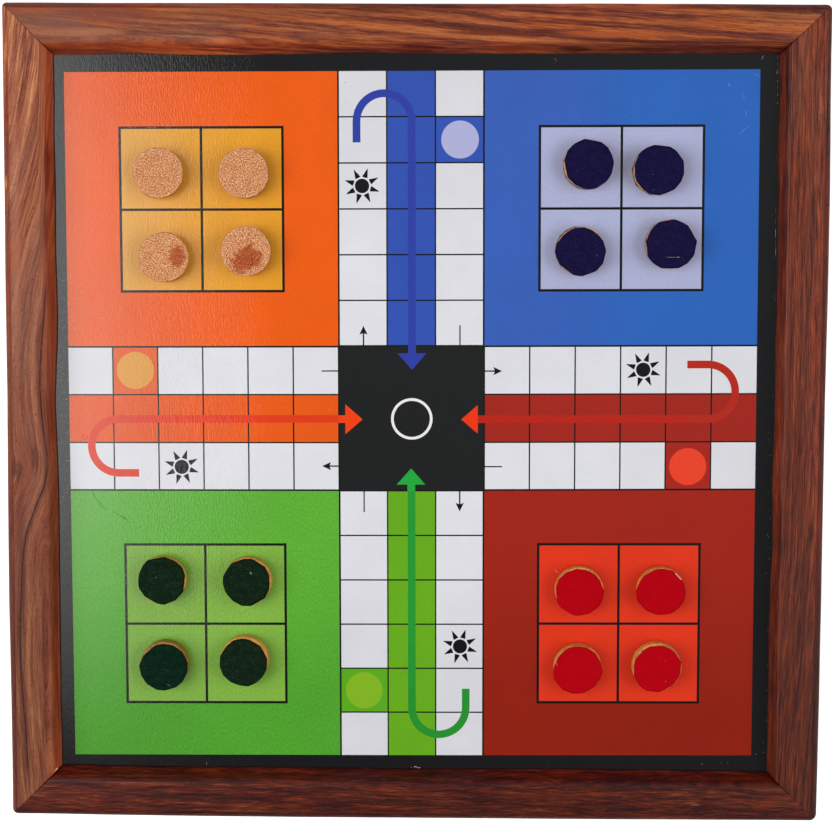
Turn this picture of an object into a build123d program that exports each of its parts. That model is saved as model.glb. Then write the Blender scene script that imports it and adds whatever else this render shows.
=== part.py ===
from build123d import *

import math
import os

# Race game for four players, played flat: a mitred hardwood tray holding a printed,
# steel-backed play sheet, and sixteen magnetic counters, four to a side.
# Millimetres. Origin: centre of the tray's footprint, on the surface it stands
# on. +Z up, +Y towards the far rail, +X to the right.

# ---- driving dimensions ----------------------------------------------------
OUTER = 305.0            # outside of the tray, both ways
RAIL_H = 20.0            # height of the rails
RAIL_W = 18.0            # rail, outside face to the edge of the opening
HALF = OUTER / 2
OPEN = HALF - RAIL_W     # half of the opening over the play sheet
PLAY_Z = 13.0            # top of the play sheet
SLOPE_RUN = 2.8          # plan width of the inner bevel
SHOULDER_R = 1.6         # rounding between the bevel and the flat top
ROUND_R = 3.0            # rounding of the outer top edge
FOOT_CHAMFER = 0.8       # broken outer edge at the foot
CORNER_R = 2.6           # corners of the tray in plan
REBATE = 4.5             # depth of the rebate, outwards from the opening
PANEL_GAP = 0.2          # clearance of the panels in the rebate

SHEET_T = 0.3            # printed and laminated play sheet
STEEL_T = 0.5            # tinned steel sheet that the magnets hold to
CORE_T = 4.0             # fibreboard core
BACK_T = 3.0             # plywood back panel

BRAD_R = 0.6             # brads that hold the back panel in
BRAD_L = 15.0
BRAD_OUT = 7.5           # how much of a brad shows under the back panel
BRAD_AT = (-95.0, 0.0, 95.0)

VNAIL_T = 0.5            # V-nails across the mitres, from below
VNAIL_LEG = 4.0
VNAIL_H = 8.0
VNAIL_AT = (8.0, 12.6)   # how far out from the opening, at each corner

# counters: a turned wooden disc, its radius given with each one below
DISC_H = 4.2
DISC_EDGE = 0.35         # broken top edge of the disc
FELT_T = 0.8             # velvet top, cut by hand
MAGNET_T = 0.8           # flexible magnet under the disc

SHEET_Z = PLAY_Z - SHEET_T
STEEL_Z = SHEET_Z - STEEL_T
CORE_Z = STEEL_Z - CORE_T
BACK_Z = CORE_Z - BACK_T
BRAD_Z = BACK_Z - BRAD_R - 0.02

# Counters: name, centre and radius of the disc, shift of the velvet top from that
# centre, shift of the magnet, and the corners of the hand-cut velvet as
# (angle in degrees, radius in mm) about the velvet's own centre.
COUNTERS = {
    "tan_1": ((-95.1, 90.05), 8.95, (-0.08, 0.1), (0.08, -0.08),
              [(0, 9.3), (22, 9.4), (45, 9.3), (68, 9.4), (90, 9.3), (112, 9.2), (135, 9.4), (158, 9.3),
               (180, 9.3), (202, 9.2), (225, 9.3), (248, 9.4), (270, 9.3), (292, 9.3), (315, 9.2), (338, 9.4)]),
    "tan_2": ((-63.45, 90.02), 8.95, (-0.1, 0.13), (0.0, 0.08),
              [(8, 9.2), (30, 9.3), (52, 9.2), (75, 9.3), (98, 9.2), (120, 9.3), (143, 9.3), (166, 9.2),
               (188, 9.3), (210, 9.2), (233, 9.3), (256, 9.2), (278, 9.2), (300, 9.3), (322, 9.2), (345, 9.3)]),
    "tan_3": ((-93.2, 59.02), 8.95, (-0.1, 0.18), (-0.08, 0.0),
              [(5, 9.3), (28, 9.2), (50, 9.2), (72, 9.3), (95, 9.2), (118, 9.2), (140, 9.3), (162, 9.3),
               (185, 9.2), (207, 9.3), (230, 9.3), (252, 9.2), (275, 9.3), (298, 9.2), (320, 9.3), (342, 9.3)]),
    "tan_4": ((-62.55, 61.42), 8.95, (-0.2, 0.11), (0.08, 0.08),
              [(2, 9.3), (25, 9.2), (48, 9.2), (70, 9.2), (93, 9.3), (115, 9.2), (138, 9.3), (160, 9.3),
               (183, 9.3), (205, 9.2), (228, 9.3), (250, 9.2), (272, 9.2), (295, 9.2), (318, 9.3), (340, 9.2)]),
    "blue_1": ((63.55, 94.0), 8.95, (0.02, 0.0), (-0.15, -0.15),
               [(4, 9.16), (20, 9.02), (40, 9.1), (60, 9.1), (101, 9.3), (129, 9.1), (149, 9.15), (172, 9.05),
                (212, 9.1), (238, 9.0), (257, 9.1), (273, 9.2), (289, 9.2), (317, 9.05), (336, 9.1)]),
    "blue_2": ((89.3, 91.95), 8.95, (0.05, 0.1), (-0.25, 0.05),
               [(20, 9.45), (48, 9.2), (65, 9.15), (101, 9.1), (117, 9.15), (137, 9.35), (168, 9.15), (196, 9.1),
                (208, 9.25), (237, 9.25), (249, 9.4), (273, 9.35), (309, 9.2), (333, 9.15), (352, 9.25)]),
    "blue_3": ((61.1, 62.23), 8.95, (-0.12, -0.23), (-0.3, 0.3),
               [(2, 9.3), (24, 9.05), (40, 8.8), (61, 8.7), (81, 8.9), (105, 8.9), (125, 8.65), (141, 8.8),
                (166, 9.3), (188, 9.3), (212, 9.0), (253, 9.0), (273, 9.1), (309, 9.2), (332, 9.3)]),
    "blue_4": ((94.25, 64.9), 9.05, (-0.05, -0.28), (-0.1, 0.05),
               [(8, 9.55), (49, 9.3), (65, 9.05), (85, 9.35), (121, 9.45), (145, 9.15), (172, 9.3), (208, 9.5),
                (229, 9.3), (249, 9.25), (289, 9.0), (313, 9.1), (336, 9.3)]),
    "green_1": ((-94.75, -61.85), 8.85, (0.02, 0.15), (0.0, 0.0),
                [(12, 8.9), (32, 9.15), (56, 8.85), (84, 8.9), (124, 9.15), (140, 9.0), (164, 8.8), (188, 8.9),
                 (200, 9.05), (224, 8.85), (260, 9.0), (276, 9.25), (304, 9.05), (332, 9.05)]),
    "green_2": ((-62.53, -61.97), 9.0, (-0.22, -0.23), (0.08, 0.0),
                [(17, 8.75), (40, 8.95), (76, 9.0), (96, 8.9), (128, 9.1), (148, 8.8), (168, 9.15), (188, 8.9),
                 (209, 8.8), (236, 8.8), (260, 9.1), (280, 9.1), (320, 9.0), (344, 8.8)]),
    "green_3": ((-94.05, -94.15), 9.1, (-0.1, -0.65), (0.0, 0.08),
                [(13, 9.1), (40, 9.05), (68, 8.95), (92, 8.75), (112, 8.8), (152, 8.8), (176, 9.3), (200, 9.15),
                 (224, 9.1), (252, 9.05), (272, 8.9), (300, 8.85), (324, 8.9), (352, 9.05)]),
    "green_4": ((-63.85, -92.12), 9.1, (-0.2, -0.68), (0.08, 0.08),
                [(9, 9.0), (45, 8.9), (76, 8.9), (92, 9.1), (112, 9.2), (136, 8.9), (164, 9.05), (189, 9.05),
                 (213, 9.1), (236, 8.9), (260, 8.8), (280, 9.25), (304, 9.05), (324, 8.9), (344, 9.0)]),
    "red_1": ((62.15, -64.72), 9.05, (-0.15, -0.4), (0.0, 0.0),
              [(4, 9.25), (33, 8.9), (49, 8.9), (73, 8.8), (97, 8.8), (124, 8.9), (148, 9.1), (168, 8.9),
               (205, 9.0), (221, 8.9), (257, 8.9), (269, 8.75), (296, 8.8), (324, 9.1), (340, 9.2)]),
    "red_2": ((92.75, -64.6), 8.95, (-0.25, -0.17), (0.0, 0.08),
              [(0, 9.2), (25, 9.3), (40, 8.8), (61, 9.15), (89, 8.8), (105, 8.7), (136, 8.7), (152, 8.75),
               (176, 9.2), (201, 9.3), (233, 8.8), (261, 8.7), (289, 8.8), (304, 9.0), (320, 9.1), (340, 9.3)]),
    "red_3": ((62.0, -94.38), 9.1, (-0.27, -0.3), (0.08, 0.0),
              [(17, 9.25), (45, 9.3), (69, 9.1), (93, 9.0), (112, 9.1), (128, 8.85), (150, 8.7), (176, 9.0),
               (201, 9.35), (233, 9.35), (260, 9.1), (284, 9.0), (316, 8.95), (328, 8.7), (340, 9.15), (356, 9.3)]),
    "red_4": ((91.65, -93.45), 9.2, (-0.05, -0.5), (0.08, 0.0),
              [(17, 9.35), (45, 9.0), (61, 9.0), (77, 9.0), (109, 8.85), (128, 8.6), (160, 8.95), (197, 9.0),
               (225, 9.1), (245, 9.2), (277, 8.85), (312, 8.5), (332, 8.6), (348, 8.8)]),
}

os.makedirs("parts", exist_ok=True)


def save(solid, name):
    export_step(solid, f"parts/{name}.step")


def prism(points, z0, z1):
    """Straight prism over a closed outline given in plan."""
    face = make_face(Polyline(*points, close=True))
    return Pos(0, 0, z0) * extrude(face, z1 - z0, dir=(0, 0, 1))


# ---- hardwood rails --------------------------------------------------------
def rail_bar():
    """Near rail before mitring: its section swept along X, on the -Y side."""

    def at(out, z):
        return (0, -(OPEN + out), z)

    section = [
        at(0, PLAY_Z),
        at(SLOPE_RUN, RAIL_H),
        at(RAIL_W, RAIL_H),
        at(RAIL_W, FOOT_CHAMFER),
        at(RAIL_W - FOOT_CHAMFER, 0),
        at(REBATE, 0),
        at(REBATE, PLAY_Z),
    ]
    face = make_face(Polyline(*section, close=True))
    bar = extrude(face, OUTER / 2 + 1, dir=(1, 0, 0), both=True)
    along = bar.edges().filter_by(Axis.X)
    outer_edge = [e for e in along if abs(e.center().Y + HALF) < 0.01 and abs(e.center().Z - RAIL_H) < 0.01]
    bar = fillet(outer_edge, ROUND_R)
    along = bar.edges().filter_by(Axis.X)
    inner_edge = [e for e in along if abs(e.center().Y + OPEN + SLOPE_RUN) < 0.01 and abs(e.center().Z - RAIL_H) < 0.01]
    return fillet(inner_edge, SHOULDER_R)


# Mitred on both ends: the rail keeps the quarter of the square on its side.
wedge = prism([(0, 0), (-HALF - 2, -HALF - 2), (HALF + 2, -HALF - 2)], -1, RAIL_H + 1)
rounded = Pos(0, 0, -1) * extrude(RectangleRounded(OUTER, OUTER, CORNER_R), RAIL_H + 2, dir=(0, 0, 1))
blank = rail_bar() & wedge & rounded

# ---- brads: driven outwards into the rebate wall, under the back panel ------
brads = []
for turn in range(4):
    for along in BRAD_AT:
        y0 = -(OPEN + REBATE - BRAD_OUT)
        brad = Pos(along, y0, BRAD_Z) * Rot(90, 0, 0) * Cylinder(
            BRAD_R, BRAD_L, align=(Align.CENTER, Align.CENTER, Align.MIN))
        brads.append(Rot(0, 0, 90 * turn) * brad)

# ---- V-nails: thin steel chevrons across each mitre, flush with the foot ----
half_t = VNAIL_T / 2
leg = VNAIL_LEG / math.sqrt(2)
chevron = [
    (0, half_t * math.sqrt(2)), (leg, leg + half_t * math.sqrt(2)),
    (leg + half_t * math.sqrt(2), leg), (0, -half_t * math.sqrt(2)),
    (-leg - half_t * math.sqrt(2), leg), (-leg, leg + half_t * math.sqrt(2)),
]
vnails = []
for turn in range(4):
    for out in VNAIL_AT:
        c = OPEN + out
        one = prism(chevron, 0, VNAIL_H)
        # the point of the V looks in towards the tray, its legs straddle the mitre
        one = Pos(-c, -c, 0) * Rot(0, 0, 135) * Pos(0, -leg / 2, 0) * one
        vnails.append(Rot(0, 0, 90 * turn) * one)

RAILS = {"rail_near": 0, "rail_right": 90, "rail_far": 180, "rail_left": 270}
for name, turn in RAILS.items():
    rail = Rot(0, 0, turn) * blank
    for cutter in brads + vnails:
        rail = rail - cutter
    save(rail, name)

save(Compound(children=brads), "back_panel_brads")
save(Compound(children=vnails), "mitre_v_nails")

# ---- panel stack in the rebate ---------------------------------------------
side = 2 * (OPEN + REBATE - PANEL_GAP)
save(Pos(0, 0, SHEET_Z) * Box(side, side, SHEET_T, align=(Align.CENTER, Align.CENTER, Align.MIN)), "play_sheet")
save(Pos(0, 0, STEEL_Z) * Box(side, side, STEEL_T, align=(Align.CENTER, Align.CENTER, Align.MIN)), "steel_sheet")
save(Pos(0, 0, CORE_Z) * Box(side, side, CORE_T, align=(Align.CENTER, Align.CENTER, Align.MIN)), "core_board")
save(Pos(0, 0, BACK_Z) * Box(side, side, BACK_T, align=(Align.CENTER, Align.CENTER, Align.MIN)), "back_panel")

# ---- counters --------------------------------------------------------------
Z0 = PLAY_Z
Z1 = Z0 + MAGNET_T
Z2 = Z1 + DISC_H
Z3 = Z2 + FELT_T
for index, (name, (centre, radius, shift, slip, corners)) in enumerate(COUNTERS.items()):
    cx, cy = centre
    # flexible magnet: cut by hand with many small snips, so nearly round
    blue = name.startswith("blue")
    magnet_r = radius if blue else radius - 0.35
    ring = []
    for k in range(18):
        a = math.radians(20 * k + 7 * index)
        r = magnet_r + 0.12 * math.sin(3.1 * k + index)
        ring.append((cx + slip[0] + r * math.cos(a), cy + slip[1] + r * math.sin(a)))
    save(prism(ring, Z0, Z1), f"magnet_{name}")
    disc = Pos(cx, cy, Z1) * Cylinder(radius, DISC_H, align=(Align.CENTER, Align.CENTER, Align.MIN))
    top = [e for e in disc.edges() if abs(e.center().Z - Z2) < 0.01]
    save(chamfer(top, DISC_EDGE), f"disc_{name}")
    velvet = []
    for angle, r in corners:
        a = math.radians(angle)
        velvet.append((cx + shift[0] + r * math.cos(a), cy + shift[1] + r * math.sin(a)))
    save(prism(velvet, Z2, Z3), f"velvet_{name}")

print("tray", OUTER, "opening", 2 * OPEN, "recess", RAIL_H - PLAY_Z, "counter height", Z3 - Z0, "counters", len(COUNTERS))
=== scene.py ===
import math
import random

import bmesh
import bpy
import numpy as np
from mathutils import Matrix, Vector, noise
from mathutils.geometry import delaunay_2d_cdt


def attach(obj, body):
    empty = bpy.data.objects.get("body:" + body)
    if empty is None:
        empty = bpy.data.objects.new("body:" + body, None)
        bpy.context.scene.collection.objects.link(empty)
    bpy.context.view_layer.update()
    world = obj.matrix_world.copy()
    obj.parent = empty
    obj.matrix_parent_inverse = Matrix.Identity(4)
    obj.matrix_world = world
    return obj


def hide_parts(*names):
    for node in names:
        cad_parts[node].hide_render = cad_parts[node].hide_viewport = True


# The looks of a framed race-game board, seen from straight above. All shapes are
# worked out in millimetres and scaled to metres when a mesh is made. The row frame
# is the CAD's: origin at the middle of the footprint, +Y towards the far rail.

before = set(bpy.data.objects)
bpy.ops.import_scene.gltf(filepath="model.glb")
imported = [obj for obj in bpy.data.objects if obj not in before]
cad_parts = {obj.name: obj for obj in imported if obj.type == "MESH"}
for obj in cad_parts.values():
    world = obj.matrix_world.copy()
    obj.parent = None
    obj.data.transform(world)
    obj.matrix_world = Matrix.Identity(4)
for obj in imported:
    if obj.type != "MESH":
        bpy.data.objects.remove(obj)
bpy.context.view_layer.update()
MM = 0.001

# ---- sizes that repeat the construction --------------------------------------
HALF = 152.5
RAIL_W = 18.0
OPEN = HALF - RAIL_W
PLAY_Z = 13.0
RAIL_H = 20.0
SHEET_SIDE = 2 * (OPEN + 4.5 - 0.2)

MAGNET_Z0, DISC_Z0, VELVET_Z0, VELVET_Z1 = 13.0, 13.8, 18.0, 18.8

COUNTERS = {
    "tan_1": ((-95.1, 90.05), 8.95, (-0.08, 0.1), (0.08, -0.08),
              [(0, 9.3), (22, 9.4), (45, 9.3), (68, 9.4), (90, 9.3), (112, 9.2), (135, 9.4), (158, 9.3),
               (180, 9.3), (202, 9.2), (225, 9.3), (248, 9.4), (270, 9.3), (292, 9.3), (315, 9.2), (338, 9.4)]),
    "tan_2": ((-63.45, 90.02), 8.95, (-0.1, 0.13), (0.0, 0.08),
              [(8, 9.2), (30, 9.3), (52, 9.2), (75, 9.3), (98, 9.2), (120, 9.3), (143, 9.3), (166, 9.2),
               (188, 9.3), (210, 9.2), (233, 9.3), (256, 9.2), (278, 9.2), (300, 9.3), (322, 9.2), (345, 9.3)]),
    "tan_3": ((-93.2, 59.02), 8.95, (-0.1, 0.18), (-0.08, 0.0),
              [(5, 9.3), (28, 9.2), (50, 9.2), (72, 9.3), (95, 9.2), (118, 9.2), (140, 9.3), (162, 9.3),
               (185, 9.2), (207, 9.3), (230, 9.3), (252, 9.2), (275, 9.3), (298, 9.2), (320, 9.3), (342, 9.3)]),
    "tan_4": ((-62.55, 61.42), 8.95, (-0.2, 0.11), (0.08, 0.08),
              [(2, 9.3), (25, 9.2), (48, 9.2), (70, 9.2), (93, 9.3), (115, 9.2), (138, 9.3), (160, 9.3),
               (183, 9.3), (205, 9.2), (228, 9.3), (250, 9.2), (272, 9.2), (295, 9.2), (318, 9.3), (340, 9.2)]),
    "blue_1": ((63.55, 94.0), 8.95, (0.02, 0.0), (-0.15, -0.15),
               [(4, 9.16), (20, 9.02), (40, 9.1), (60, 9.1), (101, 9.3), (129, 9.1), (149, 9.15), (172, 9.05),
                (212, 9.1), (238, 9.0), (257, 9.1), (273, 9.2), (289, 9.2), (317, 9.05), (336, 9.1)]),
    "blue_2": ((89.3, 91.95), 8.95, (0.05, 0.1), (-0.25, 0.05),
               [(20, 9.45), (48, 9.2), (65, 9.15), (101, 9.1), (117, 9.15), (137, 9.35), (168, 9.15), (196, 9.1),
                (208, 9.25), (237, 9.25), (249, 9.4), (273, 9.35), (309, 9.2), (333, 9.15), (352, 9.25)]),
    "blue_3": ((61.1, 62.23), 8.95, (-0.12, -0.23), (-0.3, 0.3),
               [(2, 9.3), (24, 9.05), (40, 8.8), (61, 8.7), (81, 8.9), (105, 8.9), (125, 8.65), (141, 8.8),
                (166, 9.3), (188, 9.3), (212, 9.0), (253, 9.0), (273, 9.1), (309, 9.2), (332, 9.3)]),
    "blue_4": ((94.25, 64.9), 9.05, (-0.05, -0.28), (-0.1, 0.05),
               [(8, 9.55), (49, 9.3), (65, 9.05), (85, 9.35), (121, 9.45), (145, 9.15), (172, 9.3), (208, 9.5),
                (229, 9.3), (249, 9.25), (289, 9.0), (313, 9.1), (336, 9.3)]),
    "green_1": ((-94.75, -61.85), 8.85, (0.02, 0.15), (0.0, 0.0),
                [(12, 8.9), (32, 9.15), (56, 8.85), (84, 8.9), (124, 9.15), (140, 9.0), (164, 8.8), (188, 8.9),
                 (200, 9.05), (224, 8.85), (260, 9.0), (276, 9.25), (304, 9.05), (332, 9.05)]),
    "green_2": ((-62.53, -61.97), 9.0, (-0.22, -0.23), (0.08, 0.0),
                [(17, 8.75), (40, 8.95), (76, 9.0), (96, 8.9), (128, 9.1), (148, 8.8), (168, 9.15), (188, 8.9),
                 (209, 8.8), (236, 8.8), (260, 9.1), (280, 9.1), (320, 9.0), (344, 8.8)]),
    "green_3": ((-94.05, -94.15), 9.1, (-0.1, -0.65), (0.0, 0.08),
                [(13, 9.1), (40, 9.05), (68, 8.95), (92, 8.75), (112, 8.8), (152, 8.8), (176, 9.3), (200, 9.15),
                 (224, 9.1), (252, 9.05), (272, 8.9), (300, 8.85), (324, 8.9), (352, 9.05)]),
    "green_4": ((-63.85, -92.12), 9.1, (-0.2, -0.68), (0.08, 0.08),
                [(9, 9.0), (45, 8.9), (76, 8.9), (92, 9.1), (112, 9.2), (136, 8.9), (164, 9.05), (189, 9.05),
                 (213, 9.1), (236, 8.9), (260, 8.8), (280, 9.25), (304, 9.05), (324, 8.9), (344, 9.0)]),
    "red_1": ((62.15, -64.72), 9.05, (-0.15, -0.4), (0.0, 0.0),
              [(4, 9.25), (33, 8.9), (49, 8.9), (73, 8.8), (97, 8.8), (124, 8.9), (148, 9.1), (168, 8.9),
               (205, 9.0), (221, 8.9), (257, 8.9), (269, 8.75), (296, 8.8), (324, 9.1), (340, 9.2)]),
    "red_2": ((92.75, -64.6), 8.95, (-0.25, -0.17), (0.0, 0.08),
              [(0, 9.2), (25, 9.3), (40, 8.8), (61, 9.15), (89, 8.8), (105, 8.7), (136, 8.7), (152, 8.75),
               (176, 9.2), (201, 9.3), (233, 8.8), (261, 8.7), (289, 8.8), (304, 9.0), (320, 9.1), (340, 9.3)]),
    "red_3": ((62.0, -94.38), 9.1, (-0.27, -0.3), (0.08, 0.0),
              [(17, 9.25), (45, 9.3), (69, 9.1), (93, 9.0), (112, 9.1), (128, 8.85), (150, 8.7), (176, 9.0),
               (201, 9.35), (233, 9.35), (260, 9.1), (284, 9.0), (316, 8.95), (328, 8.7), (340, 9.15), (356, 9.3)]),
    "red_4": ((91.65, -93.45), 9.2, (-0.05, -0.5), (0.08, 0.0),
              [(17, 9.35), (45, 9.0), (61, 9.0), (77, 9.0), (109, 8.85), (128, 8.6), (160, 8.95), (197, 9.0),
               (225, 9.1), (245, 9.2), (277, 8.85), (312, 8.5), (332, 8.6), (348, 8.8)]),
}


# ---- small tools ---------------------------------------------------------------
def linear(c):
    """sRGB 0-255 to scene-linear."""
    c = c / 255
    return c / 12.92 if c <= 0.04045 else ((c + 0.055) / 1.055) ** 2.4


def rgb(r, g, b, gain=1.0):
    return (linear(r) * gain, linear(g) * gain, linear(b) * gain, 1.0)


def smooth(a, b, x):
    t = min(1.0, max(0.0, (x - a) / (b - a)))
    return t * t * (3 - 2 * t)


def mesh_object(name, points_mm, faces, materials, indices=None, soft=True, sharp_deg=38.0):
    me = bpy.data.meshes.new(name)
    pts = np.asarray(points_mm, float) * MM
    me.from_pydata([tuple(p) for p in pts], [], faces)
    for m in materials:
        me.materials.append(m)
    if indices is not None:
        me.polygons.foreach_set("material_index", np.asarray(indices, np.int32))
    me.polygons.foreach_set("use_smooth", [soft] * len(me.polygons))
    me.update()
    if soft:
        me.set_sharp_from_angle(angle=math.radians(sharp_deg))
    ob = bpy.data.objects.new(name, me)
    bpy.context.scene.collection.objects.link(ob)
    return ob


def tidy(ob, triangulate_over=4):
    """Faces outwards, and large faces cut into triangles."""
    bm = bmesh.new()
    bm.from_mesh(ob.data)
    big = [f for f in bm.faces if len(f.verts) > triangulate_over]
    if big:
        bmesh.ops.triangulate(bm, faces=big, ngon_method="EAR_CLIP")
    bmesh.ops.recalc_face_normals(bm, faces=bm.faces)
    bm.to_mesh(ob.data)
    bm.free()
    ob.data.update()


class Shader:
    """Builds a node material."""

    def __init__(self, name):
        self.mat = bpy.data.materials.new(name)
        self.mat.use_nodes = True
        self.tree = self.mat.node_tree
        self.tree.nodes.clear()
        self.out = self.tree.nodes.new("ShaderNodeOutputMaterial")

    def node(self, kind, **props):
        n = self.tree.nodes.new("ShaderNode" + kind)
        for k, v in props.items():
            setattr(n, k, v)
        return n

    def put(self, socket, value):
        if value is None:
            return
        if isinstance(value, bpy.types.NodeSocket):
            self.tree.links.new(value, socket)
        else:
            socket.default_value = value

    def math(self, op, a, b=None, c=None, clamp=False):
        n = self.node("Math", operation=op, use_clamp=clamp)
        for s, v in zip(n.inputs, (a, b, c)):
            self.put(s, v)
        return n.outputs[0]

    def add(self, a, b):
        return self.math("ADD", a, b)

    def sub(self, a, b):
        return self.math("SUBTRACT", a, b)

    def mul(self, a, b):
        return self.math("MULTIPLY", a, b)

    def madd(self, a, b, c):
        return self.math("MULTIPLY_ADD", a, b, c)

    def xyz(self, x=0.0, y=0.0, z=0.0):
        n = self.node("CombineXYZ")
        for s, v in zip(n.inputs, (x, y, z)):
            self.put(s, v)
        return n.outputs[0]

    def place_mm(self):
        """x, y, z of the surface point, in millimetres of the row frame."""
        t = self.node("TexCoord")
        s = self.node("VectorMath", operation="SCALE")
        self.put(s.inputs[0], t.outputs["Object"])
        s.inputs["Scale"].default_value = 1000.0
        p = self.node("SeparateXYZ")
        self.put(p.inputs[0], s.outputs[0])
        return p.outputs[0], p.outputs[1], p.outputs[2], s.outputs[0]

    def noise(self, vector, scale=1.0, detail=2.0, roughness=0.5, distortion=0.0, colour=False, lacunarity=2.0):
        n = self.node("TexNoise", noise_dimensions="3D")
        self.put(n.inputs["Vector"], vector)
        for k, v in (("Scale", scale), ("Detail", detail), ("Roughness", roughness), ("Distortion", distortion),
                     ("Lacunarity", lacunarity)):
            n.inputs[k].default_value = v
        return n.outputs["Color"] if colour else n.outputs["Fac"]

    def cells(self, vector, scale=1.0, feature="F1", randomness=1.0, out="Distance"):
        n = self.node("TexVoronoi", feature=feature)
        self.put(n.inputs["Vector"], vector)
        n.inputs["Scale"].default_value = scale
        n.inputs["Randomness"].default_value = randomness
        return n.outputs[out]

    def span(self, v, a, b, c=0.0, d=1.0, soft=False):
        n = self.node("MapRange", interpolation_type="SMOOTHSTEP" if soft else "LINEAR")
        self.put(n.inputs["Value"], v)
        for k, x in (("From Min", a), ("From Max", b), ("To Min", c), ("To Max", d)):
            n.inputs[k].default_value = x
        return n.outputs["Result"]

    def ramp(self, fac, stops, mode="LINEAR"):
        n = self.node("ValToRGB")
        self.put(n.inputs[0], fac)
        r = n.color_ramp
        r.interpolation = mode
        while len(r.elements) > 1:
            r.elements.remove(r.elements[-1])
        r.elements[0].position, r.elements[0].color = stops[0]
        for at, col in stops[1:]:
            r.elements.new(at).color = col
        return n.outputs[0]

    def curve(self, v, points):
        """A smooth curve through points whose x and y lie in 0-1."""
        n = self.node("FloatCurve")
        self.put(n.inputs["Value"], v)
        c = n.mapping.curves[0]
        c.points[0].location = points[0]
        c.points[1].location = points[-1]
        for p in points[1:-1]:
            c.points.new(*p)
        n.mapping.update()
        return n.outputs[0]

    def mix(self, fac, a, b, mode="MIX"):
        n = self.node("Mix", data_type="RGBA", blend_type=mode)
        n.clamp_factor = True
        self.put(n.inputs[0], fac)
        self.put(n.inputs[6], a)
        self.put(n.inputs[7], b)
        return n.outputs[2]

    def grey(self, v):
        """A number as a grey colour."""
        n = self.node("CombineColor")
        for s in n.inputs:
            self.put(s, v)
        return n.outputs[0]

    def bump(self, height, distance_mm, strength=1.0, normal=None):
        n = self.node("Bump")
        n.inputs["Strength"].default_value = strength
        n.inputs["Distance"].default_value = distance_mm * MM
        self.put(n.inputs["Height"], height)
        self.put(n.inputs["Normal"], normal)
        return n.outputs[0]

    def finish(self, **sockets):
        p = self.node("BsdfPrincipled")
        for k, v in sockets.items():
            self.put(p.inputs[k.replace("_", " ")], v)
        self.put(self.out.inputs["Surface"], p.outputs[0])
        return self.mat


# ---- camera: straight down, a little right of the middle -------------------------
right = Vector((0.99990969, 0.00511786, -0.01242664))
down = Vector((0.00595589, -0.99764254, 0.0683658))
forward = Vector((-0.01204745, -0.06843364, -0.99758293))
cam_data = bpy.data.cameras.new("view")
cam_data.sensor_width = 36.0
cam_data.lens = 36.0 * 1500.0 / 832.0
cam_data.clip_start, cam_data.clip_end = 0.01, 20.0
cam = bpy.data.objects.new("view", cam_data)
bpy.context.scene.collection.objects.link(cam)
turn = Matrix((right, -down, -forward)).transposed()
cam.matrix_world = Matrix.Translation(Vector((7.22248, 41.02477, 575.10946)) * MM) @ turn.to_4x4()
bpy.context.scene.camera = cam

# ---- stage: white table, two soft boxes and a dim room ---------------------------
world = bpy.data.worlds.new("room")
bpy.context.scene.world = world
world.use_nodes = True
world.node_tree.nodes["Background"].inputs["Color"].default_value = (0.95, 0.97, 1.0, 1.0)
# the room is a little brighter beyond the board and to its right
room = world.node_tree
way = room.nodes.new("ShaderNodeSeparateXYZ")
room.links.new(room.nodes.new("ShaderNodeTexCoord").outputs["Generated"], way.inputs[0])
side_glow = []
for axis, lo, hi, v0, v1 in ((1, -0.20, 0.15, 0.165, 0.31), (0, -0.15, 0.15, 0.78, 1.12)):
    r = room.nodes.new("ShaderNodeMapRange")
    room.links.new(way.outputs[axis], r.inputs["Value"])
    for key, value in (("From Min", lo), ("From Max", hi), ("To Min", v0), ("To Max", v1)):
        r.inputs[key].default_value = value
    side_glow.append(r.outputs[0])
both_glows = room.nodes.new("ShaderNodeMath")
both_glows.operation = "MULTIPLY"
for k in (0, 1):
    room.links.new(side_glow[k], both_glows.inputs[k])
room.links.new(both_glows.outputs[0], room.nodes["Background"].inputs["Strength"])

bpy.context.scene.view_settings.view_transform = "Standard"
bpy.context.scene.view_settings.look = "None"

floor_shader = Shader("stage_white")
fx, fy, fz, fp = floor_shader.place_mm()
floor_mat = floor_shader.finish(
    Base_Color=floor_shader.mix(floor_shader.noise(fp, 0.02, 3), rgb(238, 238, 238), rgb(244, 244, 244)),
    Roughness=0.8, Emission_Color=(1, 1, 1, 1), Emission_Strength=0.62)
floor = mesh_object("stage_floor", [(-3000, -3000, -0.2), (3000, -3000, -0.2), (3000, 3000, -0.2), (-3000, 3000, -0.2)],
                    [(0, 1, 2, 3)], [floor_mat], soft=False)


def soft_box(name, centre, size, aim, radiance):
    """A rectangular lamp of even glow."""
    w, h = size
    m = bpy.data.materials.new(name)
    m.use_nodes = True
    t = m.node_tree
    t.nodes.clear()
    out = t.nodes.new("ShaderNodeOutputMaterial")
    e = t.nodes.new("ShaderNodeEmission")
    t.links.new(e.outputs[0], out.inputs[0])
    e.inputs["Strength"].default_value = radiance
    me = bpy.data.meshes.new(name)
    me.from_pydata([(-w / 2, -h / 2, 0), (w / 2, -h / 2, 0), (w / 2, h / 2, 0), (-w / 2, h / 2, 0)], [], [(3, 2, 1, 0)])
    me.materials.append(m)
    ob = bpy.data.objects.new(name, me)
    bpy.context.scene.collection.objects.link(ob)
    z = (Vector(centre) - Vector(aim)).normalized()
    x = Vector((0, 1, 0)).cross(z).normalized()
    ob.matrix_world = Matrix.Translation(Vector(centre)) @ Matrix((x, z.cross(x), z)).transposed().to_4x4()
    ob.visible_camera = False
    return ob


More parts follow.
